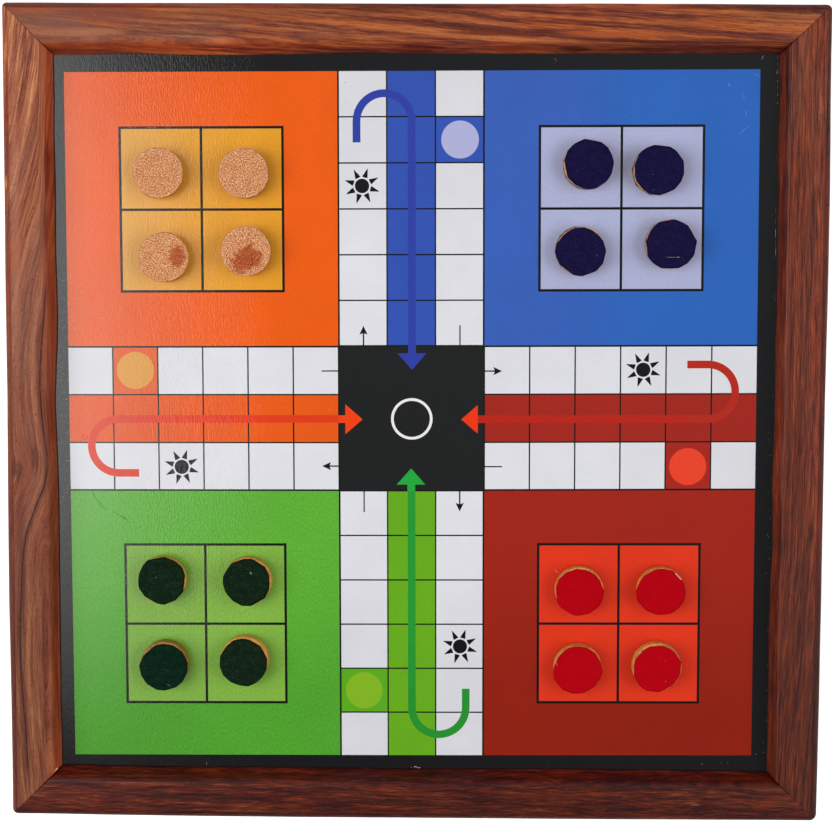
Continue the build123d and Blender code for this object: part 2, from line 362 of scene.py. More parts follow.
def hanging_panel(name, inner_edge, left, height, radiance, glow):
    """A flat lamp that faces down. inner_edge: (Y, X) of its bent right side, mm; glow: (Y, share of full glow).
    Its light also falls off over the last 85 mm before the bent side."""
    s = Shader(name)
    x, y, z, p = s.place_mm()
    t = s.span(y, -500.0, 500.0)
    share = s.curve(t, [((v + 500) / 1000, g) for v, g in glow])
    bent = s.madd(s.curve(t, [((v + 500) / 1000, (u + 400) / 400) for v, u in inner_edge]), 400.0, -400.0)
    share = s.mul(share, s.span(s.sub(x, bent), -85.0, -4.0, 1.0, 0.26))
    e = s.node("Emission")
    s.put(e.inputs["Strength"], s.mul(share, radiance))
    s.put(s.out.inputs["Surface"], e.outputs[0])
    pts = [(u, v, height) for v, u in inner_edge] + [(left, inner_edge[-1][0], height), (left, inner_edge[0][0], height)]
    ob = mesh_object(name, pts, [tuple(reversed(range(len(pts))))], [s.mat], soft=False)
    ob.visible_camera = False
    return ob


hanging_panel("stage_lamp_left",
              [(-440, -236), (-356, -228), (-250, -221), (-150, -218), (-40, -220), (60, -224), (150, -234), (236, -244),
               (272, -262), (330, -290), (380, -320)],
              -760, 870, 3.2,
              [(-440, 0.09), (-380, 0.14), (-366, 0.18), (-328, 0.35), (-291, 0.46), (-253, 0.56), (-215, 0.68), (-178, 0.79),
               (-140, 0.88), (-100, 0.97), (0, 1.0), (150, 1.0), (240, 0.93), (290, 0.88), (380, 0.82)])
soft_box("stage_lamp_far_left", (-1.06, -0.05, 0.72), (0.56, 1.00), (0.0, -0.02, 0.0), 4.6)
soft_box("stage_lamp_right", (0.84, -0.05, 0.82), (0.62, 1.00), (0.0, 0.0, 0.0), 3.55)

# ---- play sheet: the printed game ----------------------------------------------
TURN = math.radians(0.40)          # the print sits a little turned and off centre
SHIFT = (-1.23239, -0.55884)
PR = 129.2                         # half of the print inside its black margin
CW, CA = 18.22, 16.98              # a square across and along an arm
HC = 1.5 * CW
ARM = [HC + k * CA for k in range(6)] + [PR]
LINE = 0.53

K = 1.10                           # print reflectance for the brightness in the photograph


def ink(r, g, b, veil=0.010):
    return tuple(max(0.0016, (linear(c) - veil) * K) for c in (r, g, b)) + (1.0,)


PAINT = {
    "margin": ink(34, 34, 35),
    "white": ink(222, 222, 227),
    "orange": ink(236, 95, 27),
    "blue": ink(50, 103, 187),
    "green": ink(96, 173, 58),
    "red": ink(161, 44, 33),
    "yard_orange": ink(229, 167, 75),
    "yard_blue": ink(173, 178, 212),
    "yard_green": ink(128, 177, 70),
    "yard_red": ink(224, 60, 36),
    "strip_orange": ink(230, 92, 32),
    "strip_blue": ink(56, 85, 176),
    "strip_green": ink(104, 170, 38),
    "strip_red": ink(163, 46, 37),
    "cell_orange": ink(228, 99, 50),
    "cell_blue": ink(56, 86, 178),
    "cell_green": ink(92, 168, 40),
    "cell_red": ink(168, 46, 38),
    "centre": ink(39, 40, 40),
    # linework and figures
    "line": ink(32, 31, 31),
    "circle_orange": ink(213, 151, 67),
    "circle_blue": ink(176, 178, 216),
    "circle_green": ink(130, 180, 42),
    "circle_red": ink(234, 72, 46),
    "arrow_blue": ink(53, 68, 162),
    # painted shade: the green arrow's pieces darker towards the near rim, the orange arrow's darker towards the left
    # where the lamp's reflection lies
    "arrow_green": ink(45, 151, 56),
    "arrow_green_2": ink(45, 148, 54),
    "arrow_green_3": ink(45, 144, 52),
    "arrow_orange": ink(223, 64, 34),
    "arrow_orange_2": ink(220, 64, 35),
    "arrow_orange_3": ink(217, 64, 36),
    "arrow_orange_4": ink(213, 63, 36),
    "arrow_orange_5": ink(209, 63, 37),
    "arrow_red": ink(185, 44, 34),
    "arrow_red_2": ink(182, 48, 37),
    "head_orange": ink(238, 70, 28),
    "head_red": ink(236, 60, 32),
    "head_green": ink(44, 166, 66),
    "ring": ink(236, 234, 234),
    # lint, crumbs and rubbed spots on the laminate
    "lint": ink(176, 174, 168),
    "lint_red": ink(150, 70, 48),
    "lint_dark": ink(52, 50, 56),
    "lint_dim": ink(104, 104, 102),
    "lint_blue": ink(112, 158, 214),
    "lint_mauve": ink(136, 126, 168),
    "lint_rust": ink(200, 66, 0),
    # painted shade of a crease in the laminate
    "lint_green": ink(64, 138, 0),
    "crumb": ink(205, 140, 128),
}
# inks that change over their area, partly painted light: the green and red darker towards the near rim, a painted shade
# where the light falls off; the orange yard paler towards the left, a painted sheen where the lamp's reflection lies;
# the blue purpler towards the middle, partly painted light and partly the ink's own. Axis, from, to, colour at the
# start
INK_SHIFTS_AND_PAINTED_LIGHT = {"blue": (0, 45.0, 90.0, ink(61, 98, 183)), "green": (1, -118.0, -50.0, ink(82, 160, 51)),
         "red": (1, -118.0, -42.0, ink(144, 40, 27)), "yard_orange": (0, -72.0, -110.0, ink(226, 156, 46))}
FIGURES = [k for k in PAINT if k.split("_")[0] in ("line", "circle", "arrow", "head", "ring", "lint", "crumb")]

shapes = []                        # (paint, polygon), later ones lie over earlier ones


def rect(paint, x0, y0, x1, y1):
    shapes.append((paint, [(x0, y0), (x1, y0), (x1, y1), (x0, y1)]))


def disc(paint, cx, cy, r, n=64):
    shapes.append((paint, [(cx + r * math.cos(2 * math.pi * k / n), cy + r * math.sin(2 * math.pi * k / n)) for k in range(n)]))


def hline(x0, x1, y, w=LINE, paint="line"):
    rect(paint, x0, y - w / 2, x1, y + w / 2)


def vline(x, y0, y1, w=LINE, paint="line"):
    rect(paint, x - w / 2, y0, x + w / 2, y1)


def bend(paint, cx, cy, r, w, a0, a1, n=36):
    out = [math.radians(a0 + (a1 - a0) * k / n) for k in range(n + 1)]
    ring = [(cx + (r + w / 2) * math.cos(a), cy + (r + w / 2) * math.sin(a)) for a in out]
    ring += [(cx + (r - w / 2) * math.cos(a), cy + (r - w / 2) * math.sin(a)) for a in reversed(out)]
    if a1 < a0:
        ring.reverse()
    shapes.append((paint, ring))


def rotated(points, quarter):
    c, s = ((1, 0), (0, 1), (-1, 0), (0, -1))[quarter % 4]
    return [(x * c - y * s, x * s + y * c) for x, y in points]


# the two inner and two outer lines along each arm: how far across they stand at the middle and at the rim,
# in the arm's own frame (arm up), for the far, left, near and right arms
ACROSS = (((-27.11, -26.98), (-9.06, -8.97), (9.05, 9.10), (27.07, 27.07)),
          ((-27.10, -26.94), (-9.09, -8.94), (9.03, 9.12), (27.03, 27.08)),
          ((-27.06, -26.98), (-9.03, -8.95), (9.11, 9.11), (27.18, 27.16)),
          ((-27.07, -27.22), (-9.07, -9.18), (9.02, 8.82), (27.05, 26.82)))
# small slips of the lines across the arms
ALONG = ((0, 0, 0, 0, 0, 0), (0, 0.06, 0.09, 0.08, 0.04, -0.02), (0, -0.01, 0, -0.03, -0.05, -0.07), (0, 0, 0.02, 0.02, 0.04, 0.07))


def line_at(q, k, y):
    a, b = ACROSS[q][k]
    return a + (b - a) * (y - HC) / (PR - HC)


def arm_panel(paint, q, k0, k1, y0, y1):
    shapes.append((paint, rotated([(line_at(q, k0, y0), y0), (line_at(q, k1, y0), y0), (line_at(q, k1, y1), y1),
                                   (line_at(q, k0, y1), y1)], q)))


rect("white", -PR, -PR, PR, PR)
# quadrants: far left, far right, near left, near right, each with the yard's lines (inner, middle, outer)
YARDS = {
    "orange": (-1, 1, 0, 0, 1, 3, (47.74, 78.07, 108.36), (47.82, 78.18, 108.50)),
    "blue": (1, 1, 0, 3, 3, 0, (47.83, 78.15, 108.49), (47.91, 78.22, 108.54)),
    "green": (-1, -1, 2, 3, 1, 0, (47.90, 78.23, 108.52), (47.76, 78.10, 108.38)),
    "red": (1, -1, 2, 0, 3, 3, (47.75, 78.13, 108.53), (47.65, 77.97, 108.25)),
}
for big, (sx, sy, qv, kv, qh, kh, xs, ys) in YARDS.items():
    vx = [rotated([(line_at(qv, kv, y), y)], qv)[0][0] for y in (HC - 3, PR)]
    hy = [rotated([(line_at(qh, kh, y), y)], qh)[0][1] for y in (HC - 3, PR)]
    shapes.append((big, [(vx[0], hy[0]), (sx * PR, hy[1]), (sx * PR, sy * PR), (vx[1], sy * PR)]))
    rect("yard_" + big, *(f(a, b) for f, (a, b) in ((min, (sx * xs[0], sx * xs[2])), (min, (sy * ys[0], sy * ys[2])),
                                                    (max, (sx * xs[0], sx * xs[2])), (max, (sy * ys[0], sy * ys[2])))))
for q, strip in enumerate(("strip_blue", "strip_orange", "strip_green", "strip_red")):
    arm_panel(strip, q, 1, 2, HC - 1, PR)
# the four coloured squares: beside the strip, one step in from the rim
for q, cell in enumerate(("cell_blue", "cell_orange", "cell_green", "cell_red")):
    arm_panel(cell, q, 2, 3, ARM[4], ARM[5])
rect("centre", -HC, -HC, HC, HC)
# grid lines of the four arms
for q in range(4):
    for k, y in enumerate(ARM[:6]):
        y += ALONG[q][k]
        x0, x1 = line_at(q, 0, y), line_at(q, 3, y)
        shapes.append(("line", rotated([(x0, y - LINE / 2), (x1, y - LINE / 2), (x1, y + LINE / 2), (x0, y + LINE / 2)], q)))
    for k in range(4):
        w = LINE * (1.25 if k in (0, 3) else 1.0) / 2
        x0, x1 = line_at(q, k, HC), line_at(q, k, PR)
        shapes.append(("line", rotated([(x0 - w, HC), (x0 + w, HC), (x1 + w, PR), (x1 - w, PR)], q)))
# yards
w = 0.95
for sx, sy, _, _, _, _, xs, ys in YARDS.values():
    for v in ys:
        hline(min(sx * xs[0], sx * xs[2]) - w / 2, max(sx * xs[0], sx * xs[2]) + w / 2, sy * v, w)
    for v in xs:
        vline(sx * v, min(sy * ys[0], sy * ys[2]) - w / 2, max(sy * ys[0], sy * ys[2]) + w / 2, w)
# the print stops a little short of square
MORE = PR + 5.5
for pts in ([(-128.80, 128.97), (0, 128.94), (128.97, 129.06), (MORE, MORE), (-MORE, MORE)],
            [(-MORE, -MORE), (MORE, -MORE), (128.98, -128.64), (0, -128.81), (-128.90, -128.72)],
            [(-MORE, -MORE), (-128.90, -128.72), (-128.90, 0), (-128.80, 128.97), (-MORE, MORE)],
            [(MORE, MORE), (128.97, 129.06), (129.11, 0), (128.98, -128.64), (MORE, -MORE)]):
    shapes.append(("margin", pts))
disc("circle_blue", 18.22, 103.74, 6.98)
disc("circle_orange", -103.74, 18.22, 6.98)
disc("circle_red", 103.74, -18.22, 6.98)
disc("circle_green", -18.22, -103.74, 6.98)
# suns: a disc and eight long rays
for cx, cy in ((-18.22, 86.76), (-86.76, -18.22), (86.76, 18.22), (18.22, -86.76)):
    disc("line", cx, cy, 2.68, 40)
    for k in range(8):
        a = math.radians(90 - 18 - 45 * k)
        u, v = (math.cos(a), math.sin(a)), (-math.sin(a), math.cos(a))
        pts = []
        for r, s in ((3.34, -1.06), (3.22, 0.0), (3.34, 1.06), (6.68, 0.07), (6.68, -0.07)):
            pts.append((cx + u[0] * r + v[0] * s, cy + u[1] * r + v[1] * s))
        shapes.append(("line", list(reversed(pts))))
# thin arrows and strokes round the middle
for q, (ax, ay0, ay1, tx, ty0, ty1) in enumerate((
        (-17.93, 27.2, 34.7, 18.2, 27.1, 35.0), (-17.95, 27.3, 33.6, 17.9, 27.1, 33.75),
        (-18.1, 27.4, 35.1, 17.95, 27.4, 35.4), (-17.8, 27.6, 33.9, 18.2, 27.6, 34.0))):
    for pts in ([(ax - 0.27, ay0 - 0.1), (ax + 0.27, ay0 - 0.1), (ax + 0.27, ay1 - 1.6), (ax - 0.27, ay1 - 1.6)],
                [(ax - 1.55, ay1 - 3.2), (ax, ay1 - 2.6), (ax + 1.55, ay1 - 3.2), (ax, ay1 + 0.1)],
                [(tx - 0.24, ty0 - 0.1), (tx + 0.24, ty0 - 0.1), (tx + 0.24, ty1), (tx - 0.24, ty1)]):
        shapes.append(("line", rotated(pts, q)))
# long arrows that lead into the middle
W = 2.9
rect("arrow_blue", -20.2 - W / 2, 102.8, -20.2 + W / 2, 110.65)
bend("arrow_blue", -9.95, 110.6, 10.22, W, 180, 0)
rect("arrow_blue", 0.24 - W / 2, 24.4, 0.24 + W / 2, 110.65)
shapes.append(("arrow_blue", [(-5.2, 24.5), (0.25, 18.3), (5.6, 24.5)]))
rect("arrow_green_3", 20.4 - W / 2, -110.55, 20.4 + W / 2, -103.1)
bend("arrow_green_3", 10.15, -110.5, 10.22, W, 0, -180)
for paint, y0, y1 in (("arrow_green_3", -110.55, -103.0), ("arrow_green_2", -103.0, -86.0), ("arrow_green", -86.0, -27.4)):
    rect(paint, -0.07 - W / 2, y0, -0.07 + W / 2, y1)
rect("head_green", -0.15 - W / 2, -27.5, -0.15 + W / 2, -24.9)
shapes.append(("head_green", [(-5.7, -25.0), (5.1, -25.0), (-0.15, -18.85)]))
rect("arrow_orange_5", -110.5, -20.48 - W / 2, -102.9, -20.48 + W / 2)
bend("arrow_orange_5", -110.45, -10.28, 10.2, W, 270, 90)
for paint, x0, x1 in (("arrow_orange_5", -110.5, -103.7), ("arrow_orange_4", -103.7, -95.2), ("arrow_orange_3", -95.2, -86.8),
                      ("arrow_orange_2", -86.8, -69.8), ("arrow_orange", -69.8, -27.4)):
    rect(paint, x0, -0.09 - W / 2, x1, -0.09 + W / 2)
rect("head_orange", -27.5, -0.2 - W / 2, -24.8, -0.2 + W / 2)
shapes.append(("head_orange", [(-24.9, -5.9), (-18.4, -0.3), (-24.9, 5.4)]))
rect("arrow_red_2", 103.2, 20.15 - W / 2, 111.05, 20.15 + W / 2)
bend("arrow_red_2", 111.0, 9.93, 10.22, W, 90, -90)
rect("arrow_red_2", 103.6, -0.3 - W / 2, 111.05, -0.3 + W / 2)
rect("arrow_red", 24.8, -0.3 - W / 2, 103.6, -0.3 + W / 2)
shapes.append(("head_red", [(24.9, -5.75), (24.9, 5.06), (18.66, -0.36)]))
disc("ring", 0.1, -0.15, 7.81, 72)
disc("centre", 0.1, -0.15, 6.79, 72)


def to_board(p):
    c, s = math.cos(TURN), math.sin(TURN)
    return (p[0] * c - p[1] * s + SHIFT[0], p[0] * s + p[1] * c + SHIFT[1])


# lint and rubbed spots: (paint, width, points along it), in the board's own frame
LINT = [
    ("lint", 0.11, [(127.93, 134.45), (127.58, 133.73), (127.23, 132.82)]),
    ("lint_dim", 0.30, [(109.64, -131.84), (110.48, -131.80)]), ("lint_dim", 0.26, [(117.16, -131.23), (117.50, -131.25)]),
    ("lint_dim", 0.24, [(119.81, -131.02), (119.90, -131.56)]), ("lint_dim", 0.30, [(130.04, -127.86), (130.87, -127.89)]),
    ("lint_red", 0.24, [(50.84, 133.13), (51.3, 132.75), (51.74, 131.96)]), ("lint_red", 0.16, [(49.88, 133.56), (49.95, 133.34)]),
    ("lint_dark", 0.28, [(-26.5, 124.15), (-26.0, 123.95)]), ("lint", 0.24, [(53.4, -57.8), (54.3, -58.6)]),
    ("lint_mauve", 0.30, [(58.0, 81.82), (58.35, 81.70)]), ("lint_mauve", 0.26, [(77.3, 104.95), (77.5, 104.68)]),
    ("lint_mauve", 0.26, [(82.55, 67.2), (82.88, 67.12)]),
    ("lint_blue", 0.26, [(115.24, 124.12), (115.42, 123.72), (115.72, 123.35)]),
    ("lint_blue", 0.11, [(120.79, 120.16), (120.98, 119.4), (121.05, 118.51)]),
    ("lint_blue", 0.11, [(121.5, 114.2), (121.8, 113.3), (122.2, 112.3)]), ("lint_blue", 0.10, [(119.9, 105.8), (121.2, 107.4), (123.0, 108.6)]),
    ("lint_blue", 0.26, [(119.65, 106.0), (119.9, 105.6)]), ("lint", 0.24, [(-128.0, 32.6), (-127.6, 32.1)]),
    ("lint_rust", 0.42, [(-124.9, -7.0), (-125.3, -8.1), (-124.9, -9.1), (-124.1, -9.4)]), ("lint_rust", 0.62, [(-124.0, -7.4), (-123.6, -8.3), (-123.9, -9.2)]),
    ("lint", 0.10, [(-78.86, -132.87), (-78.90, -134.0)]),
    # a crease in the laminate, drawn as painted shade: dark green lines where it folds
    ("lint_green", 0.50, [(-121.8, -28.76), (-121.2, -30.4), (-119.95, -32.4)]), ("lint_green", 0.34, [(-119.95, -32.4), (-118.4, -33.5), (-117.1, -34.1)]),
    ("lint_green", 0.50, [(-119.95, -32.4), (-119.0, -34.1), (-117.6, -35.0), (-115.9, -35.9)]),
    ("lint_green", 0.44, [(-114.2, -36.6), (-112.1, -37.6), (-110.4, -38.5)]), ("lint_green", 0.95, [(-111.0, -38.2), (-109.8, -38.9), (-108.8, -39.5)]),
    ("lint_green", 0.48, [(-109.0, -39.3), (-107.8, -41.05)]), ("lint_green", 0.20, [(-106.3, -41.6), (-103.4, -42.75)]),
    ("lint_blue", 0.12, [(124.14, 127.64), (125.43, 127.39), (126.84, 126.81)]),
    # a crumb at the foot of the near rail
    ("crumb", 0.22, [(-0.82, -134.05), (-0.44, -134.09)]), ("crumb", 0.34, [(0.37, -134.12), (0.75, -133.74), (1.09, -133.84), (1.32, -134.20)]),
    ("crumb", 0.24, [(1.45, -134.14), (2.09, -134.24), (2.90, -134.33)]),
]
# flecks along the yards' lines at the left, and on the margin beside the left and right rails
fleck = random.Random(41)
for x0, y0, x1, y1, n, paint in ((-109.37, -56.0, -108.93, -100.0, 26, "lint_dim"), (-109.37, -56.0, -109.1, -84.0, 9, "lint"),
                                 (-78.9, -57.0, -78.7, -92.0, 7, "lint_dim"), (-108.0, -86.36, -84.0, -86.2, 10, "lint_dim"),
                                 (-110.3, 105.0, -109.9, 52.0, 16, "lint_dim"), (-107.0, 107.2, -104.6, 107.2, 4, "lint"),
                                 (-100.7, 107.24, -96.8, 107.26, 6, "lint"), (-94.4, 107.26, -91.4, 107.28, 3, "lint_dim"),
                                 (-86.3, 107.3, -85.9, 107.3, 1, "lint")):
    for _ in range(n):
        k, h = fleck.random(), 0.25 + 0.5 * fleck.random() ** 2
        x, y = x0 + (x1 - x0) * k + 0.24 * (fleck.random() - 0.5), y0 + (y1 - y0) * k + 0.24 * (fleck.random() - 0.5)
        across = abs(x1 - x0) > abs(y1 - y0)
        LINT.append((paint, 0.10 + 0.08 * fleck.random(), [(x, y), (x + (h if across else 0.02), y - (0.02 if across else h))]))
for k in range(60):
    x, y = -134.2 + 2.9 * fleck.random() ** 1.4, 18.0 - (12.0 if k < 42 else 22.0) * fleck.random()
    LINT.append(("lint_dim" if fleck.random() < 0.65 else "lint", 0.09 + 0.08 * fleck.random(), [(x, y), (x + 0.05, y - 0.12 - 0.2 * fleck.random())]))
for paint, w, y0, y1 in (("lint_dim", 0.12, 134.2, 133.1), ("lint_dim", 0.12, 131.9, 131.1), ("lint", 0.10, 129.3, 127.9),
                         ("lint", 0.13, 125.4, 124.8), ("lint_dim", 0.12, 123.6, 121.9), ("lint", 0.12, 120.5, 119.9),
                         ("lint", 0.14, 117.4, 116.7), ("lint_dim", 0.12, 98.0, 97.0), ("lint_dim", 0.11, 78.8, 76.4),
                         ("lint_dim", 0.11, 74.9, 72.6), ("lint", 0.13, 71.0, 67.7), ("lint_dim", 0.11, 66.8, 65.0),
                         ("lint", 0.13, 64.2, 61.0), ("lint", 0.16, 46.9, 46.6), ("lint_dim", 0.12, 46.0, 43.6),
                         ("lint", 0.14, 8.8, 8.6), ("lint", 0.14, 4.2, 4.0), ("lint_dim", 0.11, -22.0, -23.1),
                         ("lint_dim", 0.11, -48.0, -49.2), ("lint_dim", 0.11, -93.0, -93.9)):
    LINT.append((paint, w, [(float(np.interp(y, (4.0, 61.0, 71.8, 97.9, 118.0, 134.4), (134.15, 133.92, 133.61, 133.42, 133.36, 133.0))), y)
                            for y in (y0, (y0 + y1) / 2, y1)]))


def stroke(w, pts):
    left, right = [], []
    for k, (x, y) in enumerate(pts):
        a, b = pts[max(0, k - 1)], pts[min(len(pts) - 1, k + 1)]
        n = math.hypot(b[0] - a[0], b[1] - a[1])
        nx, ny = -(b[1] - a[1]) / n * w / 2, (b[0] - a[0]) / n * w / 2
        thin = 0.6 if k in (0, len(pts) - 1) else 1.0
        left.append((x + nx * thin, y + ny * thin))
        right.append((x - nx * thin, y - ny * thin))
    return left + right[::-1]


hs = SHEET_SIDE / 2
points, loops, paints = [], [], []
for paint, poly in ([("margin", [(-hs, -hs), (hs, -hs), (hs, hs), (-hs, hs)])] + [(p, [to_board(q) for q in pts]) for p, pts in shapes]
                    + [(p, stroke(w, pts)) for p, w, pts in LINT]):
    area = sum(a[0] * b[1] - b[0] * a[1] for a, b in zip(poly, poly[1:] + poly[:1]))
    if area < 0:
        poly = poly[::-1]
    loops.append(list(range(len(points), len(points) + len(poly))))
    points += [Vector(p) for p in poly]
    paints.append(paint)
cut_v, _, cut_f, _, _, cut_src = delaunay_2d_cdt(points, [], loops, 1, 1e-4, True)
top_paint = [paints[max(src)] if src else None for src in cut_src]

sheet_tri = {"print": [], "figures": []}
for f, paint in zip(cut_f, top_paint):
    if paint:
        sheet_tri["figures" if paint in FIGURES else "print"].append((f, paint))


def sheet_common(s, x, y, p):
    """Fine orange peel of the laminate, and its normal."""
    peel = s.noise(s.xyz(x, s.mul(y, 0.30), 0.0), 1.7, 2.0, 0.55)
    slow = s.noise(s.xyz(x, s.mul(y, 0.5), 4.0), 0.35, 2.0, 0.5)
    fine = s.noise(p, 4.2, 2.0, 0.6)
    height = s.sub(s.madd(fine, 0.06, s.madd(slow, 0.6, peel)), 0.83)
    # the laminate ripples most where it meets the press marks, in a band left of the middle
    uneven = s.add(s.span(x, -114.0, -98.0, 0.60, 1.0, True), s.span(x, -68.0, -48.0, 0.0, -0.55, True))
    return peel, fine, s.bump(s.mul(height, uneven), 0.062)


def make_sheet_materials():
    made = {}
    for paint, col in PAINT.items():
        s = Shader("print_" + paint)
        x, y, z, p = s.place_mm()
        peel, fine, normal = sheet_common(s, x, y, p)
        rough = s.span(s.noise(p, 0.06, 3.0, 0.6), 0.3, 0.7, 0.105, 0.125)
        if paint in FIGURES:
            # solid ink: the colour is even, the laminate over it isn't
            made[paint] = s.finish(Base_Color=col, Roughness=rough, Normal=normal, Specular_IOR_Level=0.5)
            continue
        # screen and press mottle
        tone = s.span(s.noise(p, 0.045, 3.0, 0.55), 0.3, 0.7, 0.965, 1.035)
        # painted shade: the inks darker towards the left, where the lamp's reflection lies on the laminate
        tone = s.mul(tone, s.span(x, -58.0, -112.0, 1.0, 0.88, True))
        # painted shade: the white darker towards the near rim, and a little towards the far rim, where the light falls
        # off
        if paint == "white":
            tone = s.mul(tone, s.mul(s.span(y, -40.0, -110.0, 1.0, 0.915, True), s.span(y, 50.0, 100.0, 1.0, 0.965, True)))
        coarse = {"green": 0.16, "yard_green": 0.13, "orange": 0.06, "blue": 0.075, "white": 0.026}.get(paint, 0.06)
        grain = s.span(s.noise(s.xyz(s.mul(x, 1.7), s.mul(y, 0.95), 3.0), 1.0, 2.0, 0.65), 0.3, 0.7, 1 - coarse, 1 + coarse)
        if paint in INK_SHIFTS_AND_PAINTED_LIGHT:
            # this ink changes over its area, partly as painted light and shade
            axis, v0, v1, other = INK_SHIFTS_AND_PAINTED_LIGHT[paint]
            col = s.mix(s.span((x, y)[axis], v0, v1, 0.0, 1.0, True), other, col)
        base = s.mix(1.0, col, s.grey(s.mul(tone, grain)), "MULTIPLY")
        # dust that the laminate holds: many fine pale specks, thickest at the left and along the right margin
        if paint in ("margin", "orange", "strip_orange", "arrow_orange", "centre", "green", "strip_red", "red", "blue"):
            here = s.cells(p, 0.85)
            spot = s.span(here, 0.08, 0.17, 1.0, 0.0)
            some = s.span(s.noise(p, 0.9, 1.0), 0.52, 0.60, 0.0, 1.0)
            left = s.mul(s.span(x, -96.0, -128.0, 0.0, 1.0, True),
                         s.mul(s.span(y, -60.0, -20.0, 0.0, 1.0, True), s.span(y, 75.0, 35.0, 0.0, 1.0, True)))
            edge = s.span(x, 131.6, 133.4, 0.0, 0.8, True)
            where = s.math("MAXIMUM", s.math("MAXIMUM", left, edge), 0.45 if paint == "strip_orange" else 0.05)
            speck = s.mul(s.mul(spot, some), where)
            base = s.mix(s.mul(speck, 0.75), base, rgb(196, 194, 190))
            # painted sheen: pale pinkish clouds over the same band at the left, where the lamp's reflection lies
            painted_sheen = s.mul(s.span(s.cells(s.xyz(s.mul(x, 1.3), y, 0.0), 1.5), 0.13, 0.26, 1.0, 0.0), s.span(s.noise(p, 1.3, 1.0), 0.42, 0.56))
            base = s.mix(s.mul(s.mul(painted_sheen, left), 0.42), base, rgb(228, 208, 196))
        # a few long scuffs in the laminate
        scuffs = {
            "orange": [(-130.1, 107.9, -128.6, 106.3, 0.35, 0.12)],
        }.get(paint, [])
        for x0, y0, x1, y1, w, much in scuffs:
            dx, dy = x1 - x0, y1 - y0
            n2 = dx * dx + dy * dy
            h = s.math("MULTIPLY_ADD", s.sub(x, x0), dx / n2, s.mul(s.sub(y, y0), dy / n2), clamp=True)
            ex = s.sub(s.sub(x, x0), s.mul(h, dx))
            ey = s.sub(s.sub(y, y0), s.mul(h, dy))
            far = s.math("SQRT", s.add(s.mul(ex, ex), s.mul(ey, ey)))
            far = s.madd(s.sub(s.noise(p, 0.35, 2.0), 0.5), 1.6 * w, far)
            base = s.mix(s.mul(s.span(far, w * 0.4, w, 1.0, 0.0), much), base, rgb(205, 205, 195))
        made[paint] = s.finish(Base_Color=base, Roughness=rough, Normal=normal, Specular_IOR_Level=0.5)
    return made


sheet_mats = make_sheet_materials()


def sheet_piece(name, part, with_body):
    tris = sheet_tri[part]
    used = sorted({i for f, _ in tris for i in f})
    at = {i: k for k, i in enumerate(used)}
    pts = [(cut_v[i].x, cut_v[i].y, PLAY_Z) for i in used]
    order = [k for k in PAINT if any(p == k for _, p in tris)]
    faces = [tuple(at[i] for i in f) for f, _ in tris]
    index = [order.index(p) for _, p in tris]
    mats = [sheet_mats[k] for k in order]
    if with_body:
        # edges and underside of the sheet
        corner = {}
        for k, q in enumerate(pts):
            if abs(abs(q[0]) - hs) < 1e-3 and abs(abs(q[1]) - hs) < 1e-3:
                corner[(q[0] > 0, q[1] > 0)] = k
        ring = [corner[c] for c in ((False, False), (True, False), (True, True), (False, True))]
        low = []
        for k in ring:
            low.append(len(pts))
            pts.append((pts[k][0], pts[k][1], PLAY_Z - 0.3))
        for a in range(4):
            b = (a + 1) % 4
            faces.append((ring[b], ring[a], low[a], low[b]))
            index.append(order.index("margin"))
        faces.append(tuple(reversed(low)))
        index.append(order.index("margin"))
    ob = mesh_object(name, pts, faces, mats, index, soft=False)
    for poly in ob.data.polygons:
        if poly.normal.z < 0 and poly.center.z > PLAY_Z * MM - 1e-5:
            poly.flip()
    ob.data.update()
    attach(ob, "board")
    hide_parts("play_sheet")
    return ob


sheet_piece("play_sheet_print", "print", True)
sheet_piece("play_sheet_figures", "figures", False)


# ---- rails -----------------------------------------------------------------------
# How far each hand-planed edge wanders from straight, as (place along the rail, edge), mm.
OUTER_EDGE = {
    "left": [(146, 152.37), (116, 152.36), (80, 152.38), (43, 152.48), (6, 152.35), (-32, 152.62), (-70, 152.70), (-108, 152.34), (-139, 152.26)],
    "right": [(146, 151.60), (118, 151.91), (81, 152.48), (44, 152.55), (7, 152.39), (-30, 152.57), (-68, 152.75), (-106, 152.85), (-137, 152.75)],
    "far": [(-146, 152.16), (-116, 152.06), (-79, 152.15), (-43, 152.14), (-6, 152.06), (31, 152.12), (67, 152.29), (104, 152.27), (140, 152.08)],
    "near": [(-150, 151.80), (-119, 152.18), (-81, 152.37), (-43, 152.44), (-5, 152.31), (33, 152.26), (71, 152.22), (109, 152.01), (147, 151.85)],
}
INNER_EDGE = {
    "left": [(128, 134.5), (117, 134.4), (106, 134.6), (84, 134.3), (62, 134.5), (50, 134.2), (39, 134.0), (28, 134.2), (17, 134.8), (5, 135.3), (-6, 134.9), (-17, 134.6), (-29, 134.3), (-98, 134.3), (-109, 134.4), (-121, 134.0)],
    "right": [(129, 133.7), (118, 134.1), (107, 133.9), (96, 133.9), (85, 134.4), (74, 134.3), (63, 134.5), (41, 134.7), (30, 134.4), (7, 134.8), (-4, 134.8), (-27, 134.4), (-38, 134.8), (-50, 135.0), (-61, 134.4), (-72, 134.4), (-84, 134.2), (-95, 134.6), (-119, 134.6)],
    "far": [(-125, 133.8), (-113, 134.2), (-102, 134.2), (-80, 134.0), (-69, 134.0), (-47, 134.3), (-24, 134.8), (-2, 134.8), (9, 134.7), (42, 134.7), (75, 134.9), (119, 134.9)],
    "near": [(-127, 134.0), (-116, 134.3), (-87, 134.4), (-47, 134.2), (-6, 134.5), (7, 134.45), (33, 134.1), (56, 134.0), (68, 134.0), (80, 134.1), (113, 134.1), (125, 134.3)],
}
